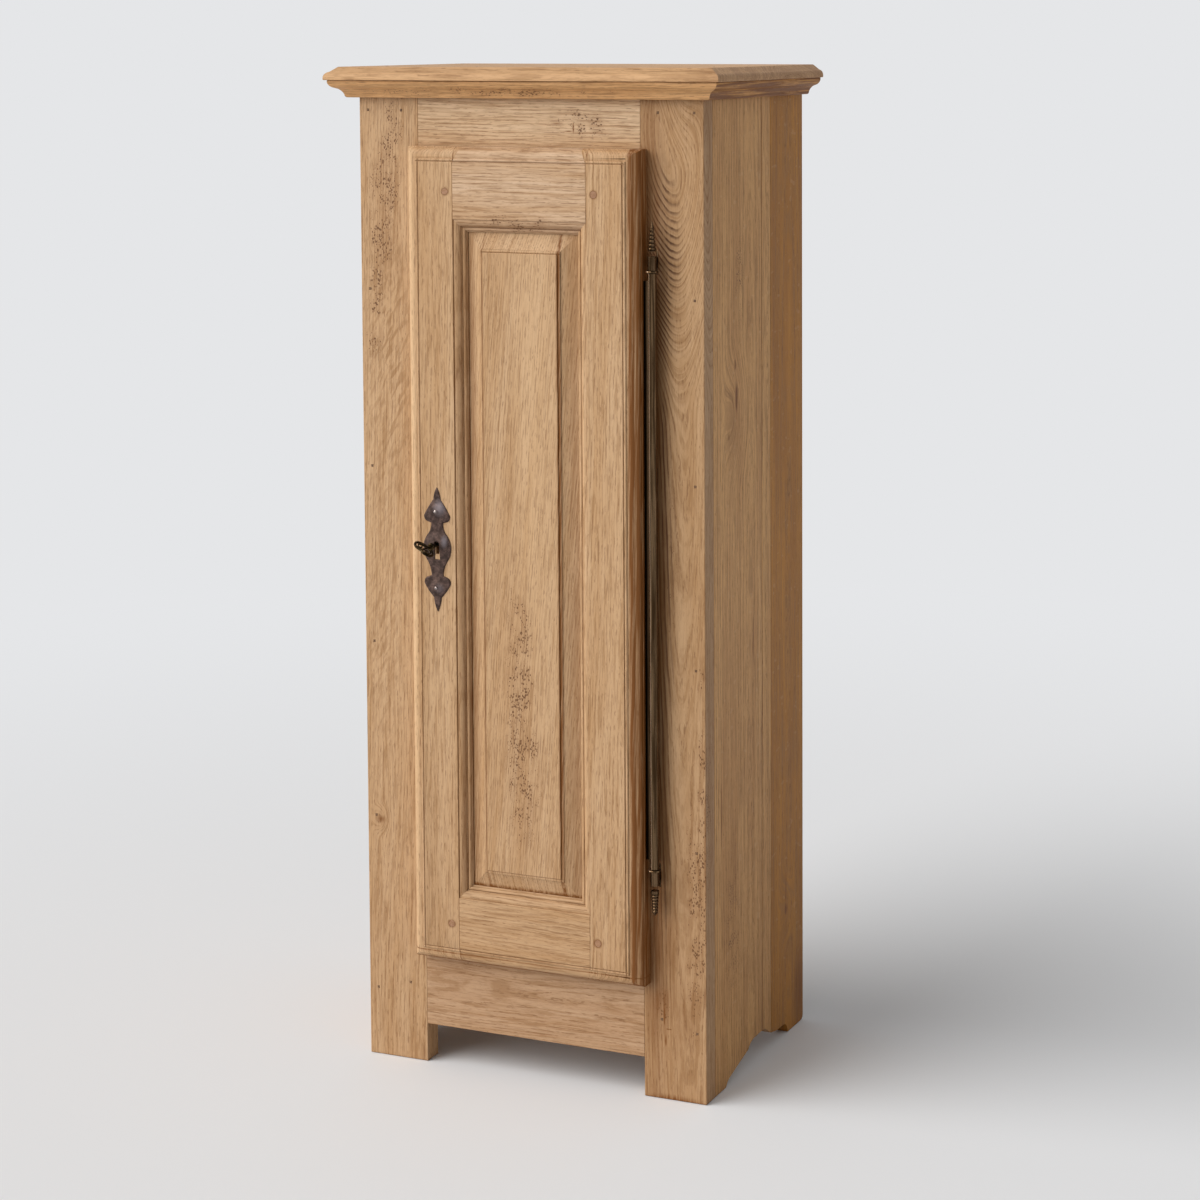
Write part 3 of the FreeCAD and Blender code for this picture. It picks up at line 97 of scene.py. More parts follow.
# %% [markdown]
# ## Colours
# A photograph gives colours as screen values from 0 to 255, but a shader works with light, so
# each value is turned into a linear one. Writing them as screen values keeps them easy to
# compare with what the eye sees.

# %% Turn screen values into light


def tone(red, green, blue):
    """A linear colour from three screen values."""

    def linear(value):
        share = value / 255
        return share / 12.92 if share <= 0.04045 else ((share + 0.055) / 1.055) ** 2.4

    return (linear(red), linear(green), linear(blue), 1.0)


PALE_OAK = tone(202, 167, 129)
WARM_OAK = tone(180, 138, 93)
RING_LINE = tone(142, 102, 60)
DARK_PORE = tone(116, 80, 50)
RAY_FLECK = tone(224, 192, 152)
CREAM = tone(222, 186, 144)
WAX_AND_SHADE_BROWN = tone(118, 70, 22)
BURNT = tone(88, 56, 34)
PIT = tone(92, 57, 30)
print("pale oak", [round(v, 3) for v in PALE_OAK[:3]])

# %% [markdown]
# ## Small helpers for node trees
# Every finish here is a tree of shader nodes. A few short helpers keep the trees readable: one
# starts a group with named inputs, one joins or sets a socket, whichever the value asks for, and
# one adds a node with its settings. The others are single steps that come up often: arithmetic,
# a soft change between two limits, a blend of two colours, and stretched noise.

# %% Make helpers for node trees


def start_group(name, kind, inputs, outputs):
    """A new node group with its named sockets, each input with its first value."""
    group = bpy.data.node_groups.new(name, kind)
    for label, socket_kind, first in inputs:
        socket = group.interface.new_socket(label, in_out="INPUT", socket_type=socket_kind)
        if first is not None:
            socket.default_value = first
    for label, socket_kind in outputs:
        group.interface.new_socket(label, in_out="OUTPUT", socket_type=socket_kind)
    return group, group.nodes.new("NodeGroupInput"), group.nodes.new("NodeGroupOutput")


def feed(tree, socket, value):
    """Joins an output to a socket, or sets the socket's own value."""
    if isinstance(value, bpy.types.NodeSocket):
        tree.links.new(value, socket)
    else:
        socket.default_value = value


def add(tree, kind, settings=None, **values):
    """Adds a node, sets its properties, and feeds its inputs by name, or by number as in i6."""
    node = tree.nodes.new(kind)
    for key, value in (settings or {}).items():
        setattr(node, key, value)
    for key, value in values.items():
        index = int(key[1:]) if key[0] == "i" and key[1:].isdigit() else key.replace("_", " ")
        feed(tree, node.inputs[index], value)
    return node


def calc(tree, operation, *values, clamp=False):
    """One step of arithmetic."""
    node = add(tree, "ShaderNodeMath", {"operation": operation, "use_clamp": clamp})
    for socket, value in zip(node.inputs, values):
        feed(tree, socket, value)
    return node.outputs[0]


def vector_calc(tree, operation, *values):
    """One step of arithmetic on vectors."""
    node = add(tree, "ShaderNodeVectorMath", {"operation": operation})
    for socket, value in zip(node.inputs, values):
        feed(tree, socket, value)
    return node.outputs["Value" if operation in ("LENGTH", "DISTANCE") else "Vector"]


def ramp(tree, value, low, high, to_low=0.0, to_high=1.0):
    """A smooth change from one value to another between two limits."""
    limits = {"From_Min": low, "From_Max": high, "To_Min": to_low, "To_Max": to_high}
    smooth = {"interpolation_type": "SMOOTHSTEP"}
    return add(tree, "ShaderNodeMapRange", smooth, Value=value, **limits).outputs["Result"]


def blend_colours(tree, share, first, second):
    """Two colours blended by a share."""
    of_colours = {"data_type": "RGBA"}
    return add(tree, "ShaderNodeMix", of_colours, Factor=share, i6=first, i7=second).outputs[2]


def noise(tree, place, stretch, detail=2.0, roughness=0.5):
    """Noise with its own count per metre along each axis."""
    scaled = vector_calc(tree, "MULTIPLY", place, stretch)
    values = {"Scale": 1.0, "Detail": detail, "Roughness": roughness}
    return add(tree, "ShaderNodeTexNoise", Vector=scaled, **values).outputs[0]


print("helpers ready")

# %% [markdown]
# ## Oak, grown as a tree
# A board shows the yearly rings of its tree cut at an angle, and that is where the arches on a
# face and the straight lines on an edge come from. A flat wood picture can't do this on every
# face at once. So the finish is solid: each board knows where the middle of its tree was and how
# it leaned, and the rings are distances from that line. A swell near a knot pushes the rings
# aside. Open pores follow the early wood of each ring, and small bright flecks are its rays.

# %% Start the group for oak
wood, wood_in, wood_out = start_group(
    "oak_wood",
    "ShaderNodeTree",
    [
        ("Trunk", "NodeSocketVector", None),
        ("Place", "NodeSocketVector", None),
        ("Ring width", "NodeSocketFloat", 0.0036),
        ("Sway", "NodeSocketFloat", 0.008),
        ("Swell", "NodeSocketFloat", 0.0),
        ("Figure", "NodeSocketFloat", 0.5),
        ("Fleck", "NodeSocketFloat", 0.2),
        ("Pits", "NodeSocketFloat", 0.0),
        ("Flames", "NodeSocketFloat", 0.0),
        ("Grime", "NodeSocketFloat", 0.0),
        ("Bleach and highlight", "NodeSocketFloat", 0.0),
        ("Wax and shade", "NodeSocketFloat", 0.0),
        ("Pale", "NodeSocketColor", PALE_OAK),
        ("Warm", "NodeSocketColor", WARM_OAK),
    ],
    [
        ("Colour", "NodeSocketColor"),
        ("Roughness", "NodeSocketFloat"),
        ("Height", "NodeSocketFloat"),
    ],
)
given = wood_in.outputs
trunk = given["Trunk"]
place = given["Place"]
print("oak is set by", [socket.name for socket in given if socket.name])

# %% [markdown]
# The rings come first. Their distance from the heart sways slowly and trembles quickly, since no
# tree is round, and each year is stronger or weaker by chance. How fine a noise is stands here as
# counts per metre, twice across the trunk and once along it.

# %% Grow the rings
SLOW_SWAY = (14, 14, 2.2)
QUICK_SWAY = (60, 60, 11)
QUICK_REACH = 0.0030
RING_BREAKS = (90, 90, 14)
from_middle = vector_calc(wood, "LENGTH", vector_calc(wood, "MULTIPLY", trunk, (1, 1, 0)))
slow = calc(wood, "SUBTRACT", noise(wood, trunk, SLOW_SWAY), 0.5)
quick = calc(wood, "SUBTRACT", noise(wood, trunk, QUICK_SWAY, detail=3), 0.5)
grown = calc(wood, "MULTIPLY_ADD", slow, given["Sway"], from_middle)
grown = calc(wood, "MULTIPLY_ADD", quick, QUICK_REACH, grown)
grown = calc(wood, "ADD", grown, given["Swell"])
years = calc(wood, "DIVIDE", grown, given["Ring width"])
season = calc(wood, "FRACT", years)
year = calc(wood, "FLOOR", years)
spring = calc(wood, "MULTIPLY", ramp(wood, season, 0.46, 0.10), ramp(wood, season, 0.0, 0.08))
strength = add(wood, "ShaderNodeTexWhiteNoise", {"noise_dimensions": "1D"}, W=year).outputs[0]
strength = calc(wood, "MULTIPLY_ADD", strength, 0.7, 0.3)
broken = ramp(wood, noise(wood, trunk, RING_BREAKS, detail=2), 0.32, 0.62, 0.25, 1.0)
ring = calc(wood, "MULTIPLY", calc(wood, "MULTIPLY", spring, strength), broken)
print("rings in", len(wood.nodes), "nodes")

# %% [markdown]
# Fine lines run with the rings, not straight through the board, and that is what makes an arch
# look grown. So their noise is stretched along the trunk and read across the rings. The two
# numbers in each ramp are the noise values at which a mark begins and at which it is full.

# %% Add fine lines, pores and rays
STROKES = (170, 40, 40)
STROKE_SLANT = -0.45
PORES = (620, 620, 40)
DASHES = (480, 480, 90)
BROAD_TONES = (36, 36, 2.4)
RAYS = (330, 60, 110)
SIDEWAYS = 12.0


def along_rings(across, length, detail=3.0):
    """Noise that follows the rings, from its count per metre across them and along the trunk."""
    axes = add(wood, "ShaderNodeSeparateXYZ", Vector=trunk)
    spread_out = add(
        wood,
        "ShaderNodeCombineXYZ",
        X=calc(wood, "MULTIPLY", grown, across),
        Y=calc(wood, "MULTIPLY", axes.outputs["Z"], length),
        Z=calc(wood, "MULTIPLY", axes.outputs["X"], SIDEWAYS),
    )
    values = {"Scale": 1.0, "Detail": detail, "Roughness": 0.6}
    return add(wood, "ShaderNodeTexNoise", Vector=spread_out.outputs[0], **values).outputs[0]


fine = along_rings(560, 16, detail=4)
uneven = along_rings(200, 5)
about_y = {"rotation_type": "Y_AXIS"}
slanted = add(wood, "ShaderNodeVectorRotate", about_y, Vector=place, Angle=STROKE_SLANT)
strokes = ramp(wood, noise(wood, slanted.outputs[0], STROKES, detail=4), 0.47, 0.62)
pores = ramp(wood, noise(wood, trunk, PORES, detail=2), 0.54, 0.64)
dashes = ramp(wood, noise(wood, trunk, DASHES, detail=2), 0.56, 0.64)
open_share = calc(wood, "MULTIPLY_ADD", spring, 0.65, 0.35)
pores = calc(wood, "MULTIPLY", calc(wood, "MAXIMUM", pores, dashes), open_share)
broad = noise(wood, trunk, BROAD_TONES, detail=2)
rays = ramp(wood, noise(wood, trunk, RAYS, detail=1), 0.66, 0.74)
rays = calc(wood, "MULTIPLY", rays, given["Fleck"])
print("the grain takes", len(wood.nodes), "nodes")

# %% [markdown]
# The colour is then laid on as it came about: first the pale wood, its warmer rings, the dark
# lines and pores, and the bright flecks of its rays. A cover says how much of what lies below a
# layer hides.

# %% Lay the oak's colours over each other
WARM_IN_LINES = 0.24
WARM_IN_PATCHES = 0.42
PORE_COVER = 0.56
warm_share = calc(wood, "MULTIPLY", ramp(wood, uneven, 0.36, 0.66), WARM_IN_LINES)
patches = ramp(wood, broad, 0.32, 0.70)
warm_share = calc(wood, "MULTIPLY_ADD", patches, WARM_IN_PATCHES, warm_share, clamp=True)
colour = blend_colours(wood, warm_share, given["Pale"], given["Warm"])
colour = blend_colours(wood, calc(wood, "MULTIPLY", ring, given["Figure"]), colour, RING_LINE)
come_and_go = ramp(wood, uneven, 0.3, 0.7, 0.32, 0.54)
dark_line = calc(wood, "MULTIPLY", ramp(wood, fine, 0.47, 0.62), come_and_go)
colour = blend_colours(wood, dark_line, colour, RING_LINE)
# Cream: bleached wood, and a painted highlight where a look puts one.
colour = blend_colours(wood, given["Bleach and highlight"], colour, CREAM)
colour = blend_colours(wood, calc(wood, "MULTIPLY", pores, PORE_COVER), colour, DARK_PORE)
colour = blend_colours(wood, rays, colour, RAY_FLECK)
print("clean oak has", len(wood.nodes), "nodes")

# %% [markdown]
# Then comes what age did to it. Worms bore round holes, so each cell of a Voronoi pattern may
# hold one, wide or narrow by chance. Soot and dark flames follow the grain. Last comes a dark
# brown, in streaks, for the old wax that was left when the wood was stripped and for the painted
# shade that each board sends in with it.

# %% Age the oak and lay on its painted shade
HOLE_CELLS = (500, 500, 260)
EATEN_PATCHES = (40, 40, 30)
WAX_AND_SHADE_STREAKS = (300, 300, 8)
EATEN_COVER = 0.20
HOLE_COVER = 0.86
cells = vector_calc(wood, "MULTIPLY", trunk, HOLE_CELLS)
holes = add(wood, "ShaderNodeTexVoronoi", {"feature": "F1"}, Vector=cells, Scale=1.0)
hole_chance = add(wood, "ShaderNodeSeparateXYZ", Vector=holes.outputs["Color"]).outputs["X"]
spread = ramp(wood, noise(wood, place, EATEN_PATCHES, detail=4), 0.34, 0.60)
eaten = calc(wood, "MULTIPLY", given["Pits"], spread, clamp=True)
hole_edge = calc(wood, "MULTIPLY", eaten, calc(wood, "MULTIPLY_ADD", hole_chance, 0.66, -0.06))
hole = ramp(wood, calc(wood, "SUBTRACT", holes.outputs["Distance"], hole_edge), 0.05, -0.05)
hole = calc(wood, "MULTIPLY", hole, calc(wood, "GREATER_THAN", hole_edge, 0.02))
colour = blend_colours(wood, calc(wood, "MULTIPLY", eaten, EATEN_COVER), colour, WAX_AND_SHADE_BROWN)
colour = blend_colours(wood, calc(wood, "MULTIPLY", hole, HOLE_COVER), colour, PIT)
line = calc(wood, "MULTIPLY", ramp(wood, season, 0.62, 0.20), ramp(wood, season, 0.0, 0.16))
line = calc(wood, "MULTIPLY_ADD", calc(wood, "MULTIPLY", line, broken), 0.85, 0.15)
grime = calc(wood, "MULTIPLY", given["Grime"], line, clamp=True)
colour = blend_colours(wood, grime, colour, BURNT)
flame = calc(wood, "MULTIPLY", given["Flames"], strokes, clamp=True)
colour = blend_colours(wood, flame, colour, RING_LINE)
# The dark brown share: old wax together with the painted shade that the board sends in, in
# streaks.
wax_and_shade_patch = ramp(wood, noise(wood, trunk, WAX_AND_SHADE_STREAKS, detail=4), 0.34, 0.60, 0.45, 1.0)
wax_and_shade = calc(wood, "MULTIPLY", given["Wax and shade"], wax_and_shade_patch, clamp=True)
colour = blend_colours(wood, wax_and_shade, colour, WAX_AND_SHADE_BROWN)
height = calc(wood, "MULTIPLY_ADD", pores, -0.5, calc(wood, "MULTIPLY", fine, 0.4))
height = calc(wood, "MULTIPLY_ADD", hole, -1.0, height)
dull = calc(wood, "MULTIPLY_ADD", pores, 0.15, calc(wood, "MULTIPLY_ADD", fine, 0.12, 0.50))
for label, value in (("Colour", colour), ("Height", height), ("Roughness", dull)):
    feed(wood, wood_out.inputs[label], value)
print("oak group has", len(wood.nodes), "nodes")

# %% [markdown]
# ## Spots
# Knots, worm holes and stains sit at their own places on a board. A spot is a soft ellipsoid: it
# is one in its middle and fades out to nothing at its edge. The same group serves for the swell
# of rings round a knot, for stains and worn patches, and for painted shade and painted highlights.

# %% Build the group for a spot
spot, spot_in, spot_out = start_group(
    "soft_spot",
    "ShaderNodeTree",
    [
        ("Place", "NodeSocketVector", None),
        ("Middle", "NodeSocketVector", (0, 0, 0)),
        ("Reach", "NodeSocketVector", (0.05, 0.05, 0.05)),
        ("Amount", "NodeSocketFloat", 1.0),
    ],
    [("Value", "NodeSocketFloat")],
)
away = vector_calc(spot, "SUBTRACT", spot_in.outputs["Place"], spot_in.outputs["Middle"])
away = vector_calc(spot, "LENGTH", vector_calc(spot, "DIVIDE", away, spot_in.outputs["Reach"]))
near = ramp(spot, away, 1.0, 0.0)
feed(spot, spot_out.inputs["Value"], calc(spot, "MULTIPLY", near, spot_in.outputs["Amount"]))


def spots_in(tree, place, spots):
    """The sum of several spots, each a middle, a reach and an amount."""
    total = None
    for middle, reach, amount in spots:
        values = {"Place": place, "Middle": middle, "Reach": reach, "Amount": amount}
        node = add(tree, "ShaderNodeGroup", {"node_tree": spot}, **values)
        value = node.outputs["Value"]
        total = value if total is None else calc(tree, "ADD", total, value)
    return total


print("spot group has", len(spot.nodes), "nodes")

# %% [markdown]
# ## One oak material for each board
# Two boards from one tree never match, so each board gets its own copy of the finish with its
# own heart, lean and tones. The heart lies a few centimetres behind a flat-sawn face. The lean
# sets how far apart the arches are. Where the shader finds a point closed in, in narrow corners
# and under other parts, it lays on a dark brown that is partly old wax and partly painted shade.

# %% Make a material for a board
ALONG = {"z": (0.0, 0.0), "x": (0.0, math.pi / 2), "y": (-math.pi / 2, 0.0)}
# Painted shade that makes every board a little darker towards the floor.
LOW_PAINTED_SHADE = ((0.0, 0.0, 0.0), (3.0, 3.0, 0.85), 0.18)
PORE_DEPTH = 0.0005
PORE_BUMP = 0.35
WAXED_SHINE = 0.3
CORNER_OPEN, CORNER_SHUT = 0.75, 0.25


def start_finish(name):
    """A new material, with its tree and its main shader."""
    made = bpy.data.materials.new(name)
    made.use_nodes = True
    return made, made.node_tree, made.node_tree.nodes["Principled BSDF"]


def add_bump(tree, shader, height, strength, depth):
    """Tilts the light on a finish by a height."""
    bump = add(tree, "ShaderNodeBump", Height=height, Strength=strength, Distance=depth)
    feed(tree, shader.inputs["Normal"], bump.outputs[0])


def oak(name, look):
    """A board's own oak: which way it grew, where its heart was, its tones and its spots."""
    made, tree, shader = start_finish(name)
    place = add(tree, "ShaderNodeTexCoord").outputs["Object"]
    turn_x, turn_y = ALONG[look["along"]]
    lean_x, lean_y = look["lean"]
    heart = {"Location": look["heart"], "Rotation": (turn_x + lean_x, turn_y + lean_y, 0.0)}
    grown = add(tree, "ShaderNodeMapping", {"vector_type": "TEXTURE"}, Vector=place, **heart)
    board = add(tree, "ShaderNodeGroup", {"node_tree": wood}, Trunk=grown.outputs[0], Place=place)
    for key in ("Ring width", "Sway", "Figure", "Fleck", "Pale", "Warm"):
        feed(tree, board.inputs[key], look[key])
    for key in ("Swell", "Pits", "Flames", "Grime", "Bleach and highlight"):
        if look[key]:
            feed(tree, board.inputs[key], spots_in(tree, place, look[key]))
    # Painted shade and old wax in closed corners, plus the look's spots, plus painted shade low
    # down.
    closed = add(tree, "ShaderNodeAmbientOcclusion", {"samples": 6}, Distance=look["corner"])
    wax_and_shade = ramp(tree, closed.outputs["AO"], CORNER_OPEN, CORNER_SHUT, 0.0, look["wax_and_shade"])
    wax_and_shade = calc(tree, "ADD", wax_and_shade, spots_in(tree, place, look["stains_and_shade"] + [LOW_PAINTED_SHADE]))
    feed(tree, board.inputs["Wax and shade"], wax_and_shade)
    feed(tree, shader.inputs["Base Color"], board.outputs["Colour"])
    feed(tree, shader.inputs["Roughness"], board.outputs["Roughness"])
    feed(tree, shader.inputs["Specular IOR Level"], WAXED_SHINE)
    add_bump(tree, shader, board.outputs["Height"], PORE_BUMP, PORE_DEPTH)
    return made


PLAIN_LOOK = {
    "along": "z",
    "heart": (0.0, 0.0, 0.0),
    "lean": (0.0, 0.0),
    "Ring width": 0.0036,
    "Sway": 0.010,
    "Figure": 0.45,
    "Fleck": 0.1,
    "Pale": PALE_OAK,
    "Warm": WARM_OAK,
    "Swell": [],
    "Pits": [],
    "Flames": [],
    "Grime": [],
    "Bleach and highlight": [],
    "stains_and_shade": [],
    "corner": 0.007,
    "wax_and_shade": 0.60,
}
print("looks hold", len(PLAIN_LOOK), "settings")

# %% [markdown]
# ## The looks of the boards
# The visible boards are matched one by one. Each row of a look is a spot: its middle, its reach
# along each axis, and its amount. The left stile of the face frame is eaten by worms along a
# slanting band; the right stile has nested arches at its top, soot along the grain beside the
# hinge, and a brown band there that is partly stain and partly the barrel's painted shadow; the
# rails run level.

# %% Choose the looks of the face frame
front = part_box("frame_stile_left")[0].y
BROWN_PALE = tone(190, 154, 115)
BROWN_WARM = tone(165, 124, 80)
DULL_PALE = tone(194, 160, 127)
DULL_WARM = tone(172, 131, 92)
LOOKS = {
    "frame_stile_left": {
        "heart": (-0.120, front + 0.110, 0.5),
        "lean": (0.020, 0.045),
        "Figure": 0.30,
        "Sway": 0.016,
        "Swell": [((-0.247, front, 0.352), (0.02, 0.1, 0.03), 0.016)],
        "Flames": [
            ((-0.222, front, 1.02), (0.060, 0.05, 0.32), 0.62),
            ((-0.240, front, 0.62), (0.045, 0.05, 0.30), 0.42),
        ],
        "Pits": [
            ((-0.216, front, 1.345), (0.028, 0.08, 0.11), 1.6),
            ((-0.232, front, 1.235), (0.036, 0.08, 0.13), 1.9),
            ((-0.248, front, 1.110), (0.024, 0.08, 0.14), 1.5),
        ],
        "stains_and_shade": [
            ((-0.228, front, 1.25), (0.030, 0.05, 0.16), 0.14),
            ((-0.247, front, 0.352), (0.012, 0.05, 0.008), 0.8),
        ],
    },
    "frame_stile_right": {
        "heart": (0.240, front + 0.045, 0.4),
        "lean": (0.022, -0.004),
        "Figure": 0.60,
        "Sway": 0.014,
        "Pale": BROWN_PALE,
        "Warm": BROWN_WARM,
        "Swell": [
            ((0.236, front, 1.445), (0.045, 0.1, 0.17), 0.045),
            ((0.170, front, 1.360), (0.240, 0.1, 0.42), -0.120),
        ],
        "Pits": [
            ((0.252, front, 0.26), (0.022, 0.06, 0.26), 1.5),
            ((0.264, front, 0.42), (0.010, 0.06, 0.34), 1.9),
            ((0.206, front, 0.13), (0.018, 0.06, 0.05), 1.6),
            ((0.215, front, 0.75), (0.030, 0.06, 0.40), 0.55),
        ],
        "Grime": [
            ((0.200, front, 1.19), (0.046, 0.05, 0.20), 1.9),
            ((0.194, front, 0.80), (0.040, 0.05, 0.50), 1.8),
            ((0.194, front, 0.35), (0.036, 0.05, 0.30), 1.2),
        ],
        "stains_and_shade": [
            # Partly stain, partly the hinge barrel's painted shadow on the stile.
            ((0.190, front, 0.76), (0.032, 0.05, 1.10), 1.05),
            ((0.271, front + 0.02, 0.75), (0.005, 0.05, 3.00), 0.45),
            ((0.220, front, 0.20), (0.050, 0.05, 0.35), 0.22),
            ((0.206, front, 0.14), (0.025, 0.05, 0.03), 0.30),
            ((0.205, front, 0.118), (0.0014, 0.05, 0.016), 1.6),
            ((0.212, front, 0.101), (0.0060, 0.05, 0.0014), 1.4),
            ((0.207, front, 0.084), (0.0014, 0.05, 0.012), 1.2),
            ((0.222, front, 0.0), (0.060, 0.05, 0.010), 0.9),
        ],
    },
    "frame_rail_top": {
        "along": "x",
        "heart": (0.0, front + 0.10, 1.270),
        "lean": (0.006, 0.012),
        "Figure": 0.55,
        "Pale": tone(217, 187, 153),
        "Warm": tone(190, 150, 106),
        "Pits": [((0.085, front, 1.372), (0.075, 0.05, 0.035), 1.6)],
        "stains_and_shade": [
            ((0.072, front, 1.366), (0.0018, 0.05, 0.011), 1.6),
            ((0.065, front, 1.361), (0.008, 0.05, 0.0014), 1.2),
            ((0.046, front, 1.372), (0.012, 0.05, 0.0013), 1.1),
        ],
    },
    "frame_rail_bottom": {
        "along": "x",
        "heart": (0.05, front + 0.05, 0.120),
        "lean": (0.010, -0.010),
        "Sway": 0.016,
        "Pale": DULL_PALE,
        "Warm": DULL_WARM,
        "Pits": [((-0.11, front, 0.155), (0.05, 0.05, 0.02), 0.6)],
    },
}
print("face frame:", sorted(LOOKS))

# %% [markdown]
# The door is paler, since it was handled and cleaned most. Its panel is bleached up its middle
# and speckled by worms low down, and its left moulding, which faces the window, has a painted
# highlight. The thin upright stains are dark wax in the moulded edges and bevels, partly laid on
# as painted shade, and a ring of wax sits round each peg.

# %% Choose the looks of the door
BLEACHED = tone(210, 180, 150)
PEG_RING = 0.0088
LOOKS |= {
    "door_stile_lock": {
        "heart": (-0.290, front + 0.20, 0.7),
        "lean": (0.004, 0.014),
        "Ring width": 0.0030,
        "Figure": 0.25,
        "stains_and_shade": [
            # Dark wax in the sticking, partly painted shade where it is turned from the window.
            ((-0.0985, front - 0.02, 0.75), (0.0070, 0.05, 1.8), 0.34),
            ((-0.0915, front - 0.02, 0.75), (0.0070, 0.05, 1.8), 0.34),
            ((-0.0865, front - 0.02, 0.75), (0.0020, 0.05, 2.0), 0.9),
            ((-0.1035, front - 0.02, 0.75), (0.0012, 0.05, 2.0), 1.0),
        ],
        # Painted highlight: the left moulding, turned to the window, is laid on paler.
        "Bleach and highlight": [((-0.176, front - 0.02, 0.75), (0.014, 0.05, 2.2), 0.75)],
    },
    "door_stile_hinge": {
        "heart": (0.300, front + 0.22, 0.7),
        "lean": (0.003, 0.030),
        "Ring width": 0.0030,
        "Figure": 0.22,
        "Fleck": 0.22,
        "stains_and_shade": [
            # Dark wax and painted shade on the moulding and edge that are turned from the window.
            ((0.170, front - 0.02, 0.75), (0.007, 0.05, 3.0), 1.2),
            ((0.184, front - 0.02, 0.75), (0.021, 0.05, 2.6), 1.4),
            ((0.105, front - 0.03, 1.331), (0.0016, 0.05, 0.008), 0.9),
        ],
    },
    "door_rail_top": {
        "along": "x",
        "heart": (0.02, front + 0.11, 1.160),
        "lean": (0.008, 0.016),
        "Figure": 0.50,
        "Pale": BLEACHED,
        "Pits": [((0.0, front - 0.03, 1.232), (0.080, 0.05, 0.022), 1.8)],
        "stains_and_shade": [((0.0, front - 0.03, 1.226), (0.5, 0.05, 0.012), 0.40)],
    },
    "door_rail_bottom": {
        "along": "x",
        "heart": (0.0, front + 0.11, 0.340),
        "lean": (0.006, 0.010),
        "Figure": 0.35,
        "Pits": [((-0.06, front - 0.03, 0.180), (0.06, 0.05, 0.012), 0.6)],
    },
    "door_panel": {
        "heart": (-0.330, front + 0.050, 0.9),
        "lean": (0.0, 0.085),
        "Figure": 0.26,
        "Bleach and highlight": [((0.020, front - 0.02, 0.95), (0.045, 0.05, 0.60), 0.30)],
        "Pits": [
            ((-0.005, front - 0.02, 0.62), (0.034, 0.05, 0.15), 1.9),
            ((0.0, front - 0.02, 0.46), (0.042, 0.05, 0.18), 1.8),
            ((0.03, front - 0.02, 0.80), (0.012, 0.05, 0.20), 0.4),
        ],
        "stains_and_shade": [
            # Partly stain, partly the stile's painted shadow on the panel's left bevel.
            ((-0.082, front - 0.02, 0.75), (0.016, 0.05, 1.4), 0.60),
            ((-0.059, front - 0.02, 0.75), (0.003, 0.05, 2.0), 0.55),
            ((0.060, front - 0.02, 0.75), (0.005, 0.05, 2.0), 1.20),
            ((0.0, front - 0.02, 0.279), (0.50, 0.05, 0.006), 0.8),
            ((0.080, front - 0.02, 0.75), (0.018, 0.05, 1.4), 0.42),
            ((0.040, front - 0.02, 0.935), (0.0011, 0.05, 0.012), 0.9),
            ((-0.013, front - 0.02, 0.760), (0.0011, 0.05, 0.016), 0.8),
        ],
    },
}
DOOR_FOOT = [
    ((0.0, front - 0.03, 0.162), (1.5, 0.10, 0.007), 1.5),
    ((0.0, front - 0.03, 0.177), (1.5, 0.10, 0.0016), 1.0),
]
for node in ("door_stile_lock", "door_rail_bottom", "door_stile_hinge"):
    LOOKS[node].setdefault("stains_and_shade", []).extend(DOOR_FOOT)
for node, peg_x in (("door_stile_lock", -0.116), ("door_stile_hinge", 0.116)):
    for peg_z in (0.221, 1.275):
        ring_at = (peg_x, front - 0.03, peg_z)
        LOOKS[node]["stains_and_shade"].append((ring_at, (PEG_RING, 0.05, PEG_RING), 1.9))
print("door:", [node for node in LOOKS if node.startswith("door")])

# %% [markdown]
# The top board and the moulding under it run level. The moulding is redder than the boards, and
# its returns on the sides are redder still. Both are darker on the right, away from the window.

# %% Choose the looks of the top
MOULD_PALE = tone(222, 175, 123)
MOULD_WARM = tone(198, 142, 87)
RETURN_TONES = {"Pale": tone(240, 178, 96), "Warm": tone(214, 140, 58)}
LOOKS |= {
    "top_board": {
        "along": "x",
        "heart": (0.0, front + 0.24, 1.30),
        "lean": (0.004, 0.006),
        "Figure": 0.15,
        "Pale": tone(212, 170, 125),
        "Warm": DULL_WARM,
        "stains_and_shade": [((0.320, 0.05, 1.44), (0.06, 1.0, 0.20), 0.50)],
    },
    "cornice_front": {
        "along": "x",
        "heart": (0.0, front + 0.20, 1.30),
        "lean": (0.004, 0.003),
        "Pale": MOULD_PALE,
        "Warm": MOULD_WARM,
        "wax_and_shade": 0.80,
        "corner": 0.010,
        "Pits": [((-0.05, front - 0.03, 1.415), (0.3, 0.05, 0.012), 1.6)],
    },
    "cornice_left": {"along": "y"} | RETURN_TONES,
    "cornice_right": {
        "along": "y",
        "stains_and_shade": [((0.290, 0.0, 1.41), (0.08, 1.0, 0.20), 1.15)],
    }
    | RETURN_TONES,
}
print(len(LOOKS), "boards of the front and the top have their look")

# %% [markdown]
# The sides are browner than the front, and the rear board is the darkest. Their rings are wide,
# so that long straight lines show. The right side has a small knot and a crack in its front
# board, and another knot near the rear foot.

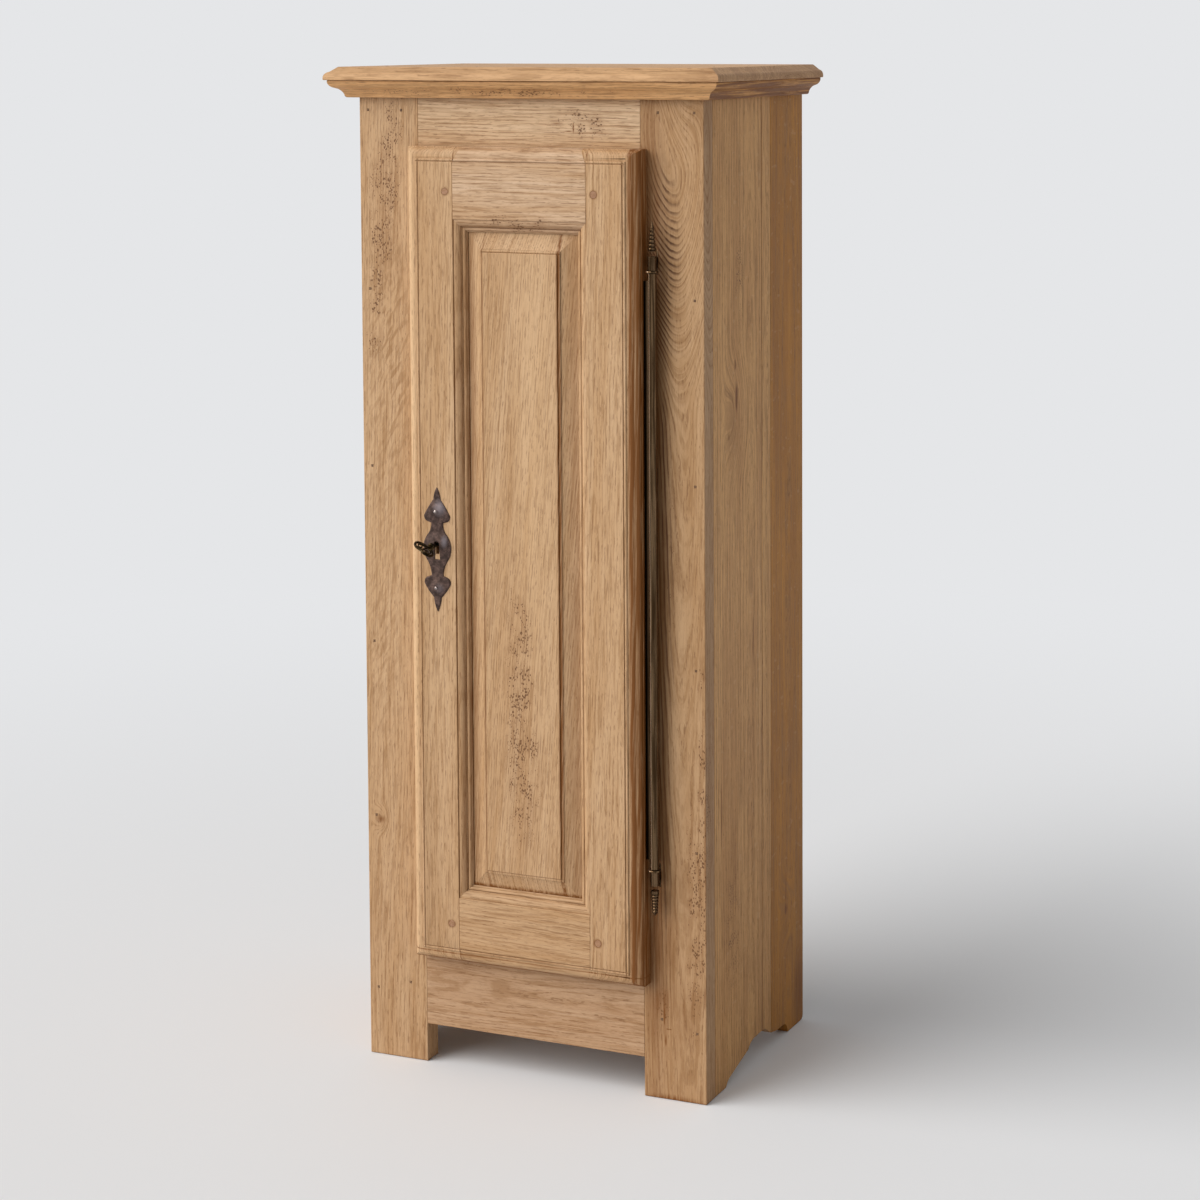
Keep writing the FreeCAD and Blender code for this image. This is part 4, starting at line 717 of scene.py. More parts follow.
# %% Choose the looks of the sides
SIDE_PALE = tone(208, 159, 101)
SIDE_WARM = tone(172, 120, 66)
REAR_PALE = tone(180, 120, 34)
REAR_WARM = tone(134, 80, 15)
SIDE_BOARDS = {
    "front_board": ((0.30, 0.02), (0.004, 0.006), SIDE_PALE, SIDE_WARM),
    "middle_board": ((0.36, 0.12), (0.003, 0.002), SIDE_PALE, SIDE_WARM),
    "rear_board": ((0.31, 0.17), (0.006, 0.008), REAR_PALE, REAR_WARM),
}
for sign, side in ((-1, "left"), (1, "right")):
    for part, (heart, lean, pale, warm) in SIDE_BOARDS.items():
        LOOKS[f"side_{side}_{part}"] = {
            "heart": (sign * heart[0], heart[1], 0.6),
            "lean": lean,
            "Ring width": 0.0080,
            "Sway": 0.016,
            "Figure": 0.60,
            "Pale": pale,
            "Warm": warm,
        }
LOOKS["side_right_front_board"] |= {
    "Swell": [((0.269, -0.035, 0.960), (0.05, 0.06, 0.12), 0.040)],
    "Pits": [
        ((0.27, -0.05, 0.25), (0.05, 0.05, 0.20), 1.2),
        ((0.27, -0.02, 1.15), (0.05, 0.03, 0.16), 0.8),
    ],
    "stains_and_shade": [
        ((0.269, -0.031, 0.985), (0.05, 0.0060, 0.030), 2.4),
        ((0.269, -0.036, 1.030), (0.05, 0.0040, 0.012), 1.8),
        ((0.269, -0.045, 0.940), (0.05, 0.0300, 0.080), 0.35),
        ((0.269, 0.030, 0.620), (0.05, 0.0050, 0.050), 0.9),
        ((0.269, -0.090, 0.400), (0.05, 0.0050, 0.080), 0.8),
        ((0.269, 0.064, 0.750), (0.05, 0.0040, 3.000), 0.9),
    ],
}
LOOKS["side_right_rear_board"] |= {
    "Swell": [((0.269, 0.157, 0.190), (0.05, 0.040, 0.070), 0.020)],
    "stains_and_shade": [
        ((0.269, 0.157, 0.190), (0.05, 0.0075, 0.012), 1.7),
        ((0.269, 0.157, 0.220), (0.05, 0.0040, 0.050), 0.8),
        ((0.269, 0.210, 0.060), (0.05, 0.0400, 0.090), 0.8),
    ],
}
print(len(LOOKS), "boards have a look of their own")

# %% [markdown]
# ## Worn boards
# A sawn board in the frame has edges like a knife. A real one has lost them, and the thin line
# of light along a rounded edge is what makes wood look solid. Each board is copied, its loose
# triangles are joined into whole faces again, and its long edges are rounded by less than a
# millimetre. Only long edges are taken, so that small nail holes stay clean.

# %% Make a worn copy of a board
BOARD_BODIES = {name: body_of(frame["nodes"][name])[0] for name in node_names}
MERGE = 0.00001
FLAT = math.radians(0.6)
SHARP_EDGE = math.radians(35)


def bare_copy(node):
    """A node's loose triangles as a shape whose corners are joined."""
    shape = bmesh.new()
    shape.from_mesh(frame["nodes"][node].data)
    bmesh.ops.remove_doubles(shape, verts=shape.verts, dist=MERGE)
    return shape


def joined_copy(node):
    """A node's mesh as one closed skin with whole flat faces."""
    shape = bare_copy(node)
    bmesh.ops.dissolve_limit(shape, angle_limit=FLAT, verts=shape.verts, edges=shape.edges)
    return shape


def mesh_of(name, shape):
    """The mesh of a shape, which is then let go."""
    mesh = bpy.data.meshes.new(name)
    shape.to_mesh(mesh)
    shape.free()
    return mesh


def in_scene(name, data):
    """A new object in the scene."""
    thing = bpy.data.objects.new(name, data)
    bpy.context.scene.collection.objects.link(thing)
    return thing


def mesh_piece(name, mesh, node, smooth=40):
    """A finished mesh as a piece that rides where its node does and stands for it."""
    for face in mesh.polygons:
        face.use_smooth = True
    mesh.set_sharp_from_angle(angle=math.radians(smooth))
    piece = in_scene(name, mesh)
    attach(piece, BOARD_BODIES[node])
    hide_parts(node)


def finish_piece(name, shape, node, material, smooth=20):
    """Turns a shape of one material into a piece."""
    mesh = mesh_of(name, shape)
    mesh.materials.append(material)
    mesh_piece(name, mesh, node, smooth)


def worn(node, material, wear=0.0009, shortest=0.012):
    """A board with its long outer edges rounded."""
    shape = joined_copy(node)
    long_edges = [
        edge
        for edge in shape.edges
        if len(edge.link_faces) == 2
        and edge.is_convex
        and edge.calc_length() > shortest
        and edge.calc_face_angle() > SHARP_EDGE
    ]
    bmesh.ops.bevel(
        shape,
        geom=long_edges,
        offset=wear,
        offset_type="OFFSET",
        segments=2,
        profile=0.5,
        affect="EDGES",
        clamp_overlap=False,
    )
    finish_piece(f"{node}_worn", shape, node, material)


print("bodies:", sorted(set(BOARD_BODIES.values())))

# %% [markdown]
# Every board is then worn and given its oak. Boards that nobody sees in the picture take a heart
# and a lean by chance, from a fixed seed, so that they come out the same each time.

# %% Give every board its wear and its oak
chance = random.Random(11)
slots = {row["node"]: row["material_slot"] for row in frame["record"]["subparts"]}
boards = [
    name
    for name in node_names
    if slots[name] in ("oak", "oak_inside") and not name.endswith("_nails") and name != "door_pegs"
]
for node in boards:
    low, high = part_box(node)
    size = high - low
    middle = (low + high) / 2
    look = PLAIN_LOOK | {
        "along": max("xyz", key=lambda axis: getattr(size, axis)),
        "heart": tuple(value + chance.uniform(-0.06, 0.06) for value in middle),
        "lean": (chance.uniform(-0.01, 0.01), chance.uniform(-0.01, 0.01)),
    }
    if slots[node] == "oak_inside":
        look |= {"Pale": SIDE_PALE, "Warm": REAR_WARM}
    look |= LOOKS.get(node, {})
    worn(node, oak(f"oak_{node}", look))
print(len(boards), "boards worn and finished")

# %% [markdown]
# Two small things are left on the door. Its edge reaches nearer to the hinge than the frame's
# solid does, so the last few millimetres of that stile are moved. The four pegs are oak too, but
# they show their end grain, so their rings are seen end on.

# %% Move the door's edge and finish the pegs
EDGE_BAND = 0.004
EDGE_MOVE = 0.0042
edge_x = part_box("door_stile_hinge")[1].x
for vert in bpy.data.objects["door_stile_hinge_worn"].data.vertices:
    if vert.co.x > edge_x - EDGE_BAND:
        vert.co.x += EDGE_MOVE
peg_look = PLAIN_LOOK | {
    "along": "y",
    "heart": (0.0, 0.0, 0.75),
    "Ring width": 0.0022,
    "Figure": 0.4,
    "Pale": tone(176, 136, 108),
    "Warm": tone(146, 106, 80),
    "corner": 0.0015,
}
worn("door_pegs", oak("oak_door_pegs", peg_look), 0.0005, 0.002)
print("door edge moved by", EDGE_MOVE * 1000, "mm")

# %% [markdown]
# ## Iron
# The hinge is old iron gone dark and brown, with painted highlights on its proud edges. The
# plate is rusted and pitted all over, and the key is polished by use. One recipe serves them all:
# a metal with its tone, roughness and small pits driven by noise, so that no part of it is flat,
# with painted shadow and painted highlight laid on at given spots where asked.

# %% Make the irons
DRAWN_OUT = (300, 300, 9)
DARK_HOLE = tone(28, 19, 15)
SHADOW_BLACK = tone(16, 8, 4)
IRON_PIT_DEPTH = 0.0004


def iron(
    name,
    dark,
    bright,
    roughness,
    pitted,
    metal=1.0,
    stretch=(160, 160, 160),
    painted_shadow=(),
    painted_highlights=(),
    highlight_tone=tone(214, 188, 158),
):
    """Old iron: patches of two tones, uneven roughness, pits, and spots of painted shadow and
    painted highlight.
    """
    made, tree, shader = start_finish(name)
    place = add(tree, "ShaderNodeTexCoord").outputs["Object"]
    patches = noise(tree, place, stretch, detail=4, roughness=0.6)
    grit = noise(tree, place, (900, 900, 900), detail=2)
    share = ramp(tree, calc(tree, "MULTIPLY_ADD", grit, 0.2, patches), 0.45, 0.85)
    colour = blend_colours(tree, share, dark, bright)
    holes = ramp(tree, grit, 0.42, 0.30)
    colour = blend_colours(tree, calc(tree, "MULTIPLY", holes, pitted), colour, DARK_HOLE)
    low, high = roughness
    dull = ramp(tree, patches, 0.3, 0.7, low, high)
    if painted_shadow:
        shadow_share = calc(tree, "MINIMUM", spots_in(tree, place, painted_shadow), 1.0)
        colour = blend_colours(tree, shadow_share, colour, SHADOW_BLACK)
        dull = calc(tree, "MULTIPLY_ADD", shadow_share, 0.4, dull, clamp=True)
    if painted_highlights:
        highlight_share = calc(tree, "MINIMUM", spots_in(tree, place, painted_highlights), 1.0)
        colour = blend_colours(tree, highlight_share, colour, highlight_tone)
    for label, value in (("Base Color", colour), ("Roughness", dull), ("Metallic", metal)):
        feed(tree, shader.inputs[label], value)
    height = calc(tree, "MULTIPLY_ADD", holes, -1.0, patches)
    add_bump(tree, shader, height, pitted, IRON_PIT_DEPTH)
    return made


IRONS = {
    "dark_iron": iron(
        "dark_iron",
        tone(58, 42, 26),
        tone(120, 96, 72),
        (0.20, 0.34),
        0.15,
        stretch=DRAWN_OUT,
    ),
    "key_iron": iron("key_iron", tone(24, 19, 12), tone(86, 72, 48), (0.20, 0.36), 0.2),
    "lock_steel": iron(
        "lock_steel",
        tone(66, 60, 53),
        tone(112, 104, 94),
        (0.38, 0.60),
        0.2,
        stretch=(70, 70, 70),
    ),
}
nail_head = iron("plate_nail", tone(126, 110, 104), tone(216, 208, 204), (0.16, 0.28), 0.1)
filled = iron("waxed_head", tone(104, 74, 48), tone(132, 98, 66), (0.5, 0.7), 0.2, metal=0.0)
print(sorted(IRONS))

# %% [markdown]
# Two of the irons have marks at their own places. The hinge's leaf, in the gap between the
# door's edge and the barrel, is painted near black as shadow, and painted highlights run along
# the barrel's outer edge, brightest on its collars and at the barrel's ends. The plate has a
# lighter bluish-grey painted sheen round the nails and beside the keyhole.

# %% Mark the hinge and the plate
# Painted shadow: the leaf beside the barrel is laid on near black.
LEAF_PAINTED_SHADOW = [((0.166, -0.155, 0.75), (0.0285, 0.2, 4.0), 5.0)]
# Painted highlights: the barrel's left edge, its collars and its ends.
HINGE_PAINTED_HIGHLIGHTS = [((0.1948, -0.1684, 0.75), (0.0024, 0.0040, 9.0), 1.5)]
for collar_z in (0.332, 1.170):
    HINGE_PAINTED_HIGHLIGHTS.append(((0.1912, -0.1690, collar_z), (0.0050, 0.0060, 0.0040), 5.0))
for end_z in (0.290, 1.214):
    HINGE_PAINTED_HIGHLIGHTS.append(((0.1955, -0.1680, end_z), (0.0030, 0.0040, 0.060), 2.0))
hinge_iron = iron(
    "hinge_iron",
    tone(60, 43, 26),
    tone(124, 100, 74),
    (0.18, 0.32),
    0.15,
    stretch=DRAWN_OUT,
    painted_shadow=LEAF_PAINTED_SHADOW,
    painted_highlights=HINGE_PAINTED_HIGHLIGHTS,
)
# Painted sheen: lighter bluish-grey patches on the plate.
PLATE_PAINTED_SHEEN = [
    ((-0.128, -0.178, 0.824), (0.013, 0.02, 0.017), 0.60),
    ((-0.121, -0.180, 0.776), (0.007, 0.02, 0.013), 0.60),
    ((-0.129, -0.178, 0.708), (0.010, 0.02, 0.010), 0.30),
]
IRONS["plate_iron"] = iron(
    "plate_iron",
    tone(56, 40, 34),
    tone(104, 82, 74),
    (0.40, 0.64),
    0.7,
    metal=0.6,
    painted_highlights=PLATE_PAINTED_SHEEN,
    highlight_tone=tone(150, 141, 146),
)
# Counts the spots of painted highlight and painted sheen.
print(len(HINGE_PAINTED_HIGHLIGHTS) + len(PLATE_PAINTED_SHEEN), "rubbed places")

# %% [markdown]
# ## Nails
# There are over seventy nails in the cabinet, all forged by one pattern: a square shank that
# tapers, under a small head with hammered facets. Placing them one by one would be a long list,
# and the frame already knows where they are. So the points and directions are read from its
# nails, and Geometry Nodes set one forged nail on each point, with the length and head width of
# the last nail read in its node.

# %% Build the nail tree
nail_tree, nail_in, nail_out = start_group(
    "forged_nails",
    "GeometryNodeTree",
    [
        ("Points", "NodeSocketGeometry", None),
        ("Head width", "NodeSocketFloat", 0.004),
        ("Dome", "NodeSocketFloat", 0.0004),
        ("Length", "NodeSocketFloat", 0.030),
        ("Material", "NodeSocketMaterial", None),
    ],
    [("Geometry", "NodeSocketGeometry")],
)
nail_tree.is_modifier = True
asked = nail_in.outputs
half_head = calc(nail_tree, "MULTIPLY", asked["Head width"], 0.5)
head = add(nail_tree, "GeometryNodeMeshUVSphere", Segments=10, Rings=7, Radius=half_head)
dome_share = calc(nail_tree, "DIVIDE", asked["Dome"], half_head)
flatter = add(nail_tree, "ShaderNodeCombineXYZ", X=1.0, Y=1.0, Z=dome_share).outputs[0]
head = add(nail_tree, "GeometryNodeTransform", Geometry=head.outputs[0], Scale=flatter)
shank = add(
    nail_tree,
    "GeometryNodeMeshCone",
    Vertices=4,
    Radius_Top=calc(nail_tree, "MULTIPLY", half_head, 0.66),
    Radius_Bottom=calc(nail_tree, "MULTIPLY", half_head, 0.20),
    Depth=asked["Length"],
)
down = calc(nail_tree, "MULTIPLY", asked["Length"], -1.0)
down = add(nail_tree, "ShaderNodeCombineXYZ", Z=down).outputs[0]
shank = add(nail_tree, "GeometryNodeTransform", Geometry=shank.outputs[0], Translation=down)
one_nail = nail_tree.nodes.new("GeometryNodeJoinGeometry")
for part in (head, shank):
    nail_tree.links.new(part.outputs[0], one_nail.inputs[0])
print("one nail takes", len(nail_tree.nodes), "nodes")

# %% [markdown]
# The nail is then set on every point, turned to the direction that the point carries. Both trees
# of this lesson end alike: the copies are made real, because an export drops instances, and they
# get their material.

# %% Set the nail on every point


def end_tree(tree, geometry, asked, output):
    """Ends a tree with real faces of one material."""
    real = add(tree, "GeometryNodeRealizeInstances", Geometry=geometry).outputs[0]
    values = {"Geometry": real, "Material": asked["Material"]}
    feed(tree, output.inputs[0], add(tree, "GeometryNodeSetMaterial", **values).outputs[0])
    print(tree.name, "has", len(tree.nodes), "nodes")


aim = add(nail_tree, "GeometryNodeInputNamedAttribute", {"data_type": "FLOAT_VECTOR"}, Name="aim")
up = {"axis": "Z"}
turned_to = add(nail_tree, "FunctionNodeAlignRotationToVector", up, Vector=aim.outputs[0])
placed = add(
    nail_tree,
    "GeometryNodeInstanceOnPoints",
    Points=asked["Points"],
    Instance=one_nail.outputs[0],
    Rotation=turned_to.outputs[0],
)
end_tree(nail_tree, placed.outputs[0], asked, nail_out)

# %% [markdown]
# The frame's nails are plain bars. Each bar is one island of its node's mesh: its longest side is
# the nail's direction, and its wider end is the head. A bar with no wider end has its head on the
# side away from the cabinet's middle, but for the few that are driven outwards from the inside.

# %% Read the nails' places and set them
SAME_SIZE = 0.0002
DRIVEN_OUTWARDS = ("cleat_nails", "frame_leaf_nails", "strike_nails")
ROUND_DOME = 0.0013
FLAT_DOME = 0.0003


def islands(node):
    """The separate bodies inside one node, as lists of corner places."""
    shape = bare_copy(node)
    left = dict.fromkeys(shape.verts)  # a set would give another order on each run
    found = []
    while left:
        reached = [left.popitem()[0]]
        for vert in reached:
            for near in [edge.other_vert(vert) for edge in vert.link_edges]:
                if near in left:
                    del left[near]
                    reached.append(near)
        found.append([vert.co.copy() for vert in reached])
    shape.free()
    return found


def real_mesh(holder):
    """The plain mesh that an object comes to, with its modifiers done; the object goes."""
    ready = holder.evaluated_get(bpy.context.evaluated_depsgraph_get())
    made = bpy.data.meshes.new_from_object(ready)
    bpy.data.objects.remove(holder)
    return made


def run_tree(name, base, tree, values):
    """The plain mesh that a tree of Geometry Nodes makes from a base mesh."""
    holder = in_scene(name, base)
    modifier = holder.modifiers.new(name, "NODES")
    modifier.node_group = tree
    for item in tree.interface.items_tree:
        if item.item_type == "SOCKET" and item.in_out == "INPUT" and item.name in values:
            modifier[item.identifier] = values[item.name]
    return real_mesh(holder)


def set_nails(node, dome, material):
    """Sets a forged nail on the place of each nail of a node."""
    middle = sum(cad_box, Vector()) / 2
    starts, aims, width, length = [], [], 0.0, 0.0
    for corners in islands(node):
        low = Vector([min(c[i] for c in corners) for i in range(3)])
        high = Vector([max(c[i] for c in corners) for i in range(3)])
        size = high - low
        axis = max(range(3), key=lambda i: size[i])
        length = size[axis]
        width = min(size)
        spans = []
        for edge in (low, high):
            end = [c for c in corners if abs(c[axis] - edge[axis]) < SAME_SIZE]
            spans.append(max((a - b).length for a in end for b in end))
        if abs(spans[0] - spans[1]) > SAME_SIZE:
            head_high = spans[1] > spans[0]
            width = min(high[i] - low[i] for i in range(3) if i != axis)
        else:
            head_high = abs(high[axis] - middle[axis]) > abs(low[axis] - middle[axis])
            if node in DRIVEN_OUTWARDS:
                head_high = not head_high
        start = (low + high) / 2
        start[axis] = high[axis] if head_high else low[axis]
        starts.append(start)
        aims.append(Vector([(1 if head_high else -1) if i == axis else 0 for i in range(3)]))
    base = bpy.data.meshes.new(node)
    base.from_pydata(starts, [], [])
    kept = base.attributes.new("aim", "FLOAT_VECTOR", "POINT")
    kept.data.foreach_set("vector", [value for one in aims for value in one])
    values = {"Head width": width, "Dome": dome, "Length": length - dome, "Material": material}
    mesh_piece(f"{node}_forged", run_tree(node, base, nail_tree, values), node)
    return len(starts)


OWN_NAIL_FINISH = {"frame_nails": filled, "escutcheon_nails": nail_head}
total_nails = 0
for node in node_names:
    if node.endswith("_nails"):
        dome = ROUND_DOME if node == "escutcheon_nails" else FLAT_DOME
        total_nails += set_nails(node, dome, OWN_NAIL_FINISH.get(node, IRONS[slots[node]]))
print(total_nails, "nails set")

# %% [markdown]
# ## The turned finials of the hinge
# The rod hinge ends in two finials. The upper one is a row of beads that shrink towards a long
# point, and the lower one is twisted like a thread above a short point. Both follow one rule: a
# radius that tapers along the axis and rises and falls with each bead, and a twist that shifts
# the beads as they go round. A cylinder with many rings is bent to that rule by Geometry Nodes.

# %% Build the finial tree
finial_tree, finial_in, finial_out = start_group(
    "turned_finial",
    "GeometryNodeTree",
    [
        ("Base", "NodeSocketGeometry", None),
        ("Length", "NodeSocketFloat", 0.05),
        ("Root radius", "NodeSocketFloat", 0.0058),
        ("Beads", "NodeSocketFloat", 6.0),
        ("Bead start", "NodeSocketFloat", 0.04),
        ("Bead end", "NodeSocketFloat", 0.78),
        ("Bead depth", "NodeSocketFloat", 0.30),
        ("Twist", "NodeSocketFloat", 0.0),
        ("Shrink", "NodeSocketFloat", 0.45),
        ("Material", "NodeSocketMaterial", None),
    ],
    [("Geometry", "NodeSocketGeometry")],
)
finial_tree.is_modifier = True
asked = finial_in.outputs
bar = add(
    finial_tree,
    "GeometryNodeMeshCylinder",
    Vertices=28,
    Side_Segments=150,
    Radius=1.0,
    Depth=1.0,
)
corner = finial_tree.nodes.new("GeometryNodeInputPosition").outputs[0]
axes = add(finial_tree, "ShaderNodeSeparateXYZ", Vector=corner).outputs
along = calc(finial_tree, "ADD", axes["Z"], 0.5)
print("a bar for", finial_tree.name)

# %% [markdown]
# A turner makes beads by cutting the hollows between them. So the hollows are a wave along the
# bar, and the twist shifts the wave as it goes round, which makes a thread of it. Each step
# below is one small sum.

# %% Work out the beads
turn_share = calc(finial_tree, "ARCTAN2", axes["Y"], axes["X"])
turn_share = calc(finial_tree, "DIVIDE", turn_share, 2 * math.pi)
from_start = calc(finial_tree, "SUBTRACT", along, asked["Bead start"])
bead_room = calc(finial_tree, "SUBTRACT", asked["Bead end"], asked["Bead start"])
bead_share = calc(finial_tree, "DIVIDE", from_start, bead_room)
turns = calc(finial_tree, "MULTIPLY", bead_share, asked["Beads"])
turns = calc(finial_tree, "MULTIPLY_ADD", turn_share, asked["Twist"], turns)
wave = calc(finial_tree, "SINE", calc(finial_tree, "MULTIPLY", turns, math.pi))
wave = calc(finial_tree, "POWER", calc(finial_tree, "ABSOLUTE", wave), 0.7)
hollow = calc(finial_tree, "SUBTRACT", 1.0, wave)
past_start = calc(finial_tree, "GREATER_THAN", bead_share, 0.0)
before_end = calc(finial_tree, "LESS_THAN", bead_share, 1.0)
in_beads = calc(finial_tree, "MULTIPLY", past_start, before_end)
hollow = calc(finial_tree, "MULTIPLY", hollow, in_beads)
hollow = calc(finial_tree, "MULTIPLY", hollow, asked["Bead depth"])
print("beads take", len(finial_tree.nodes), "nodes")

# %% [markdown]
# The bar also shrinks along the beads and runs out in a point. Its radius is all of these
# multiplied, and every corner of the bar moves to it.

# %% Taper the bar and move its corners
beads_done = calc(finial_tree, "MAXIMUM", calc(finial_tree, "MINIMUM", bead_share, 1.0), 0.0)
thinner = calc(finial_tree, "MULTIPLY", beads_done, asked["Shrink"])
taper = calc(finial_tree, "SUBTRACT", 1.0, thinner)
past_beads = calc(finial_tree, "SUBTRACT", along, asked["Bead end"])
tip_room = calc(finial_tree, "SUBTRACT", 1.0, asked["Bead end"])
tip_share = calc(finial_tree, "DIVIDE", past_beads, tip_room, clamp=True)
pointed = calc(finial_tree, "SUBTRACT", 1.0, calc(finial_tree, "POWER", tip_share, 0.85))
pointed = calc(finial_tree, "MAXIMUM", pointed, 0.04)
radius = calc(finial_tree, "MULTIPLY", taper, pointed)
radius = calc(finial_tree, "MULTIPLY", radius, calc(finial_tree, "SUBTRACT", 1.0, hollow))
radius = calc(finial_tree, "MULTIPLY", radius, asked["Root radius"])
moved = add(
    finial_tree,
    "ShaderNodeCombineXYZ",
    X=calc(finial_tree, "MULTIPLY", axes["X"], radius),
    Y=calc(finial_tree, "MULTIPLY", axes["Y"], radius),
    Z=calc(finial_tree, "MULTIPLY", along, asked["Length"]),
).outputs[0]
shaped = add(finial_tree, "GeometryNodeSetPosition", Geometry=bar.outputs["Mesh"], Position=moved)
end_tree(finial_tree, shaped.outputs[0], asked, finial_out)

# %% [markdown]
# The tree is run twice, once for each end of the rod. The lower finial is the same turning upside
# down, and a mirrored mesh is inside out, so its faces are turned round.

# %% Turn both finials
rod_low, rod_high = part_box("hinge_rod")
hinge_x = (rod_low.x + rod_high.x) / 2
hinge_y = (rod_low.y + rod_high.y) / 2
finial_low, finial_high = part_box("hinge_finials")
knuckle_low, knuckle_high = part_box("hinge_knuckles")
BOTH = {"Root radius": 0.0058, "Bead depth": 0.34, "Beads": 6.0, "Material": IRONS["dark_iron"]}
UPPER = {"Bead start": 0.02, "Bead end": 0.74, "Shrink": 0.50, "Twist": 0.0}
LOWER = {"Bead start": 0.12, "Bead end": 0.84, "Shrink": 0.32, "Twist": 1.0}
finial_shape = bmesh.new()
for values, root_z, tip_z in (
    (UPPER, knuckle_high.z, finial_high.z),
    (LOWER, knuckle_low.z, finial_low.z),
):
    values |= BOTH | {"Length": abs(tip_z - root_z)}
    turned_mesh = run_tree("finial", bpy.data.meshes.new("finial"), finial_tree, values)
    flip = Matrix.Diagonal((1, 1, 1 if tip_z > root_z else -1, 1))
    turned_mesh.transform(Matrix.Translation((hinge_x, hinge_y, root_z)) @ flip)
    if tip_z < root_z:
        turned_mesh.flip_normals()
    finial_shape.from_mesh(turned_mesh)
bmesh.ops.remove_doubles(finial_shape, verts=finial_shape.verts, dist=MERGE)
bmesh.ops.recalc_face_normals(finial_shape, faces=finial_shape.faces)
finial_mesh = mesh_of("hinge_finials_turned", finial_shape)
finial_mesh.materials.clear()
finial_mesh.materials.append(IRONS["dark_iron"])
mesh_piece("hinge_finials_turned", finial_mesh, "hinge_finials", 60)
print("finials have", len(finial_mesh.vertices), "corners")

# %% [markdown]
# ## The rest of the hinge and the lock
# Barrel, collars, knuckles, lock case and bolt have their right shape already. They are softened
# like the boards, all round, because iron is rubbed on every edge.

# %% Soften the iron parts
METAL_WEAR = {
    "hinge_barrel": 0.0006,
    "hinge_collars": 0.0012,
    "hinge_knuckles": 0.0006,
    "hinge_rod": 0.0005,
    "lock_bolt": 0.0004,
    "lock_case": 0.0004,
    "lock_cover": 0.0003,
    "strike_plate": 0.0003,
    "bolt_spring": 0.0002,
}
for node, wear in METAL_WEAR.items():
    finish = hinge_iron if node in ("hinge_barrel", "hinge_collars") else IRONS[slots[node]]
    worn(node, finish, wear, shortest=0.0005)
print(len(METAL_WEAR), "iron parts softened")

# %% [markdown]
# ## The keyhole plate
# The plate was cut from sheet iron and hammered from behind, so it swells softly round the
# keyhole and at its two nails, and its rim is rounded. A flat extrusion would look like card. So
# its outline is read from the frame's plate, the inside is filled with a fine net of triangles,
# and each corner is raised by how far it is from the rim, from the keyhole and from a nail.

# %% Read the plate's outline
RIM_STEP = 0.0011
plate_low, plate_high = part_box("escutcheon")
key_low, key_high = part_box("key")
bolt_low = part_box("lock_bolt")[0]
nail_places = [sum(corners, Vector()) / len(corners) for corners in islands("escutcheon_nails")]


def rim_loops(node, level):
    """The closed outlines of a node's flat back, each as a list of places (x, z)."""
    shape = joined_copy(node)
    edges = {}
    for edge in shape.edges:
        flat = all(abs(vert.co.y - level) < MERGE for vert in edge.verts)
        side = any(abs(face.normal.y) < 0.5 for face in edge.link_faces)
        if flat and side:
            edges[edge] = True
    loops = []
    while edges:
        edge = edges.popitem()[0]
        loop = [edge.verts[0], edge.verts[1]]
        while loop[-1] is not loop[0]:
            step = next(e for e in loop[-1].link_edges if e in edges)
            del edges[step]
            loop.append(step.other_vert(loop[-1]))
        loops.append([Vector((vert.co.x, vert.co.z)) for vert in loop[:-1]])
    shape.free()
    return sorted(loops, key=lambda loop: -max((a - loop[0]).length for a in loop))


def fine_loop(loop, step):
    """A closed outline with a place at every small step."""
    made = []
    for first, second in zip(loop, loop[1:] + loop[:1]):
        count = max(1, round((second - first).length / step))
        made += [first.lerp(second, i / count) for i in range(count)]
    return made


plate_loops = [fine_loop(loop, RIM_STEP) for loop in rim_loops("escutcheon", plate_high.y)]
print("plate outlines:", [len(loop) for loop in plate_loops])

# %% [markdown]
# The sheet is thickest in its middle and thins to its rim like a coin. Two kinds of mound lie on
# it, a broad one round the keyhole and a small one under each nail, and the marks of the hammer
# are a little noise over all.

# %% Hammer the plate
SHEET_THICK = 0.0017
RIM_THICK_SHARE = 0.45
RIM_ROUND = 0.0013
KEY_MOUND = (0.019, 0.0024)
NAIL_MOUND = (0.012, 0.0014)
HAMMER_MARKS = 230
HAMMER_DEPTH = 0.00018
KEY_UNDER_BOLT = 0.010
key_at = Vector(((plate_low.x + plate_high.x) / 2, bolt_low.z - KEY_UNDER_BOLT))


def distance_to(loop, point):
    """The distance from a point to a closed outline."""
    best = 1.0
    for first, second in zip(loop, loop[1:] + loop[:1]):
        near, share = intersect_point_line(point, first, second)
        near = near.xy
        if share < 0:
            near = first
        elif share > 1:
            near = second
        best = min(best, (near - point).length)
    return best


def swell(point, middle, reach, rise):
    """A soft mound round a middle."""
    share = max(0.0, 1 - ((point - middle).length / reach) ** 2)
    return rise * share * share * (3 - 2 * share)


def plate_height(point):
    """How far the plate's face stands off the door at a point."""
    from_rim = min(distance_to(loop, point) for loop in plate_loops[:2])
    share = min(1.0, from_rim / RIM_ROUND)
    coin = RIM_THICK_SHARE + (1 - RIM_THICK_SHARE) * math.sqrt(1 - (1 - share) ** 2)
    rise = SHEET_THICK * coin + swell(point, key_at, *KEY_MOUND)
    for nail in nail_places:
        rise += swell(point, Vector((nail.x, nail.z)), *NAIL_MOUND)
    field = chance_field.noise(Vector((point.x, point.y, 0.0)) * HAMMER_MARKS)
    return rise + HAMMER_DEPTH * field * share


print("sheet", SHEET_THICK * 1000, "mm thick")

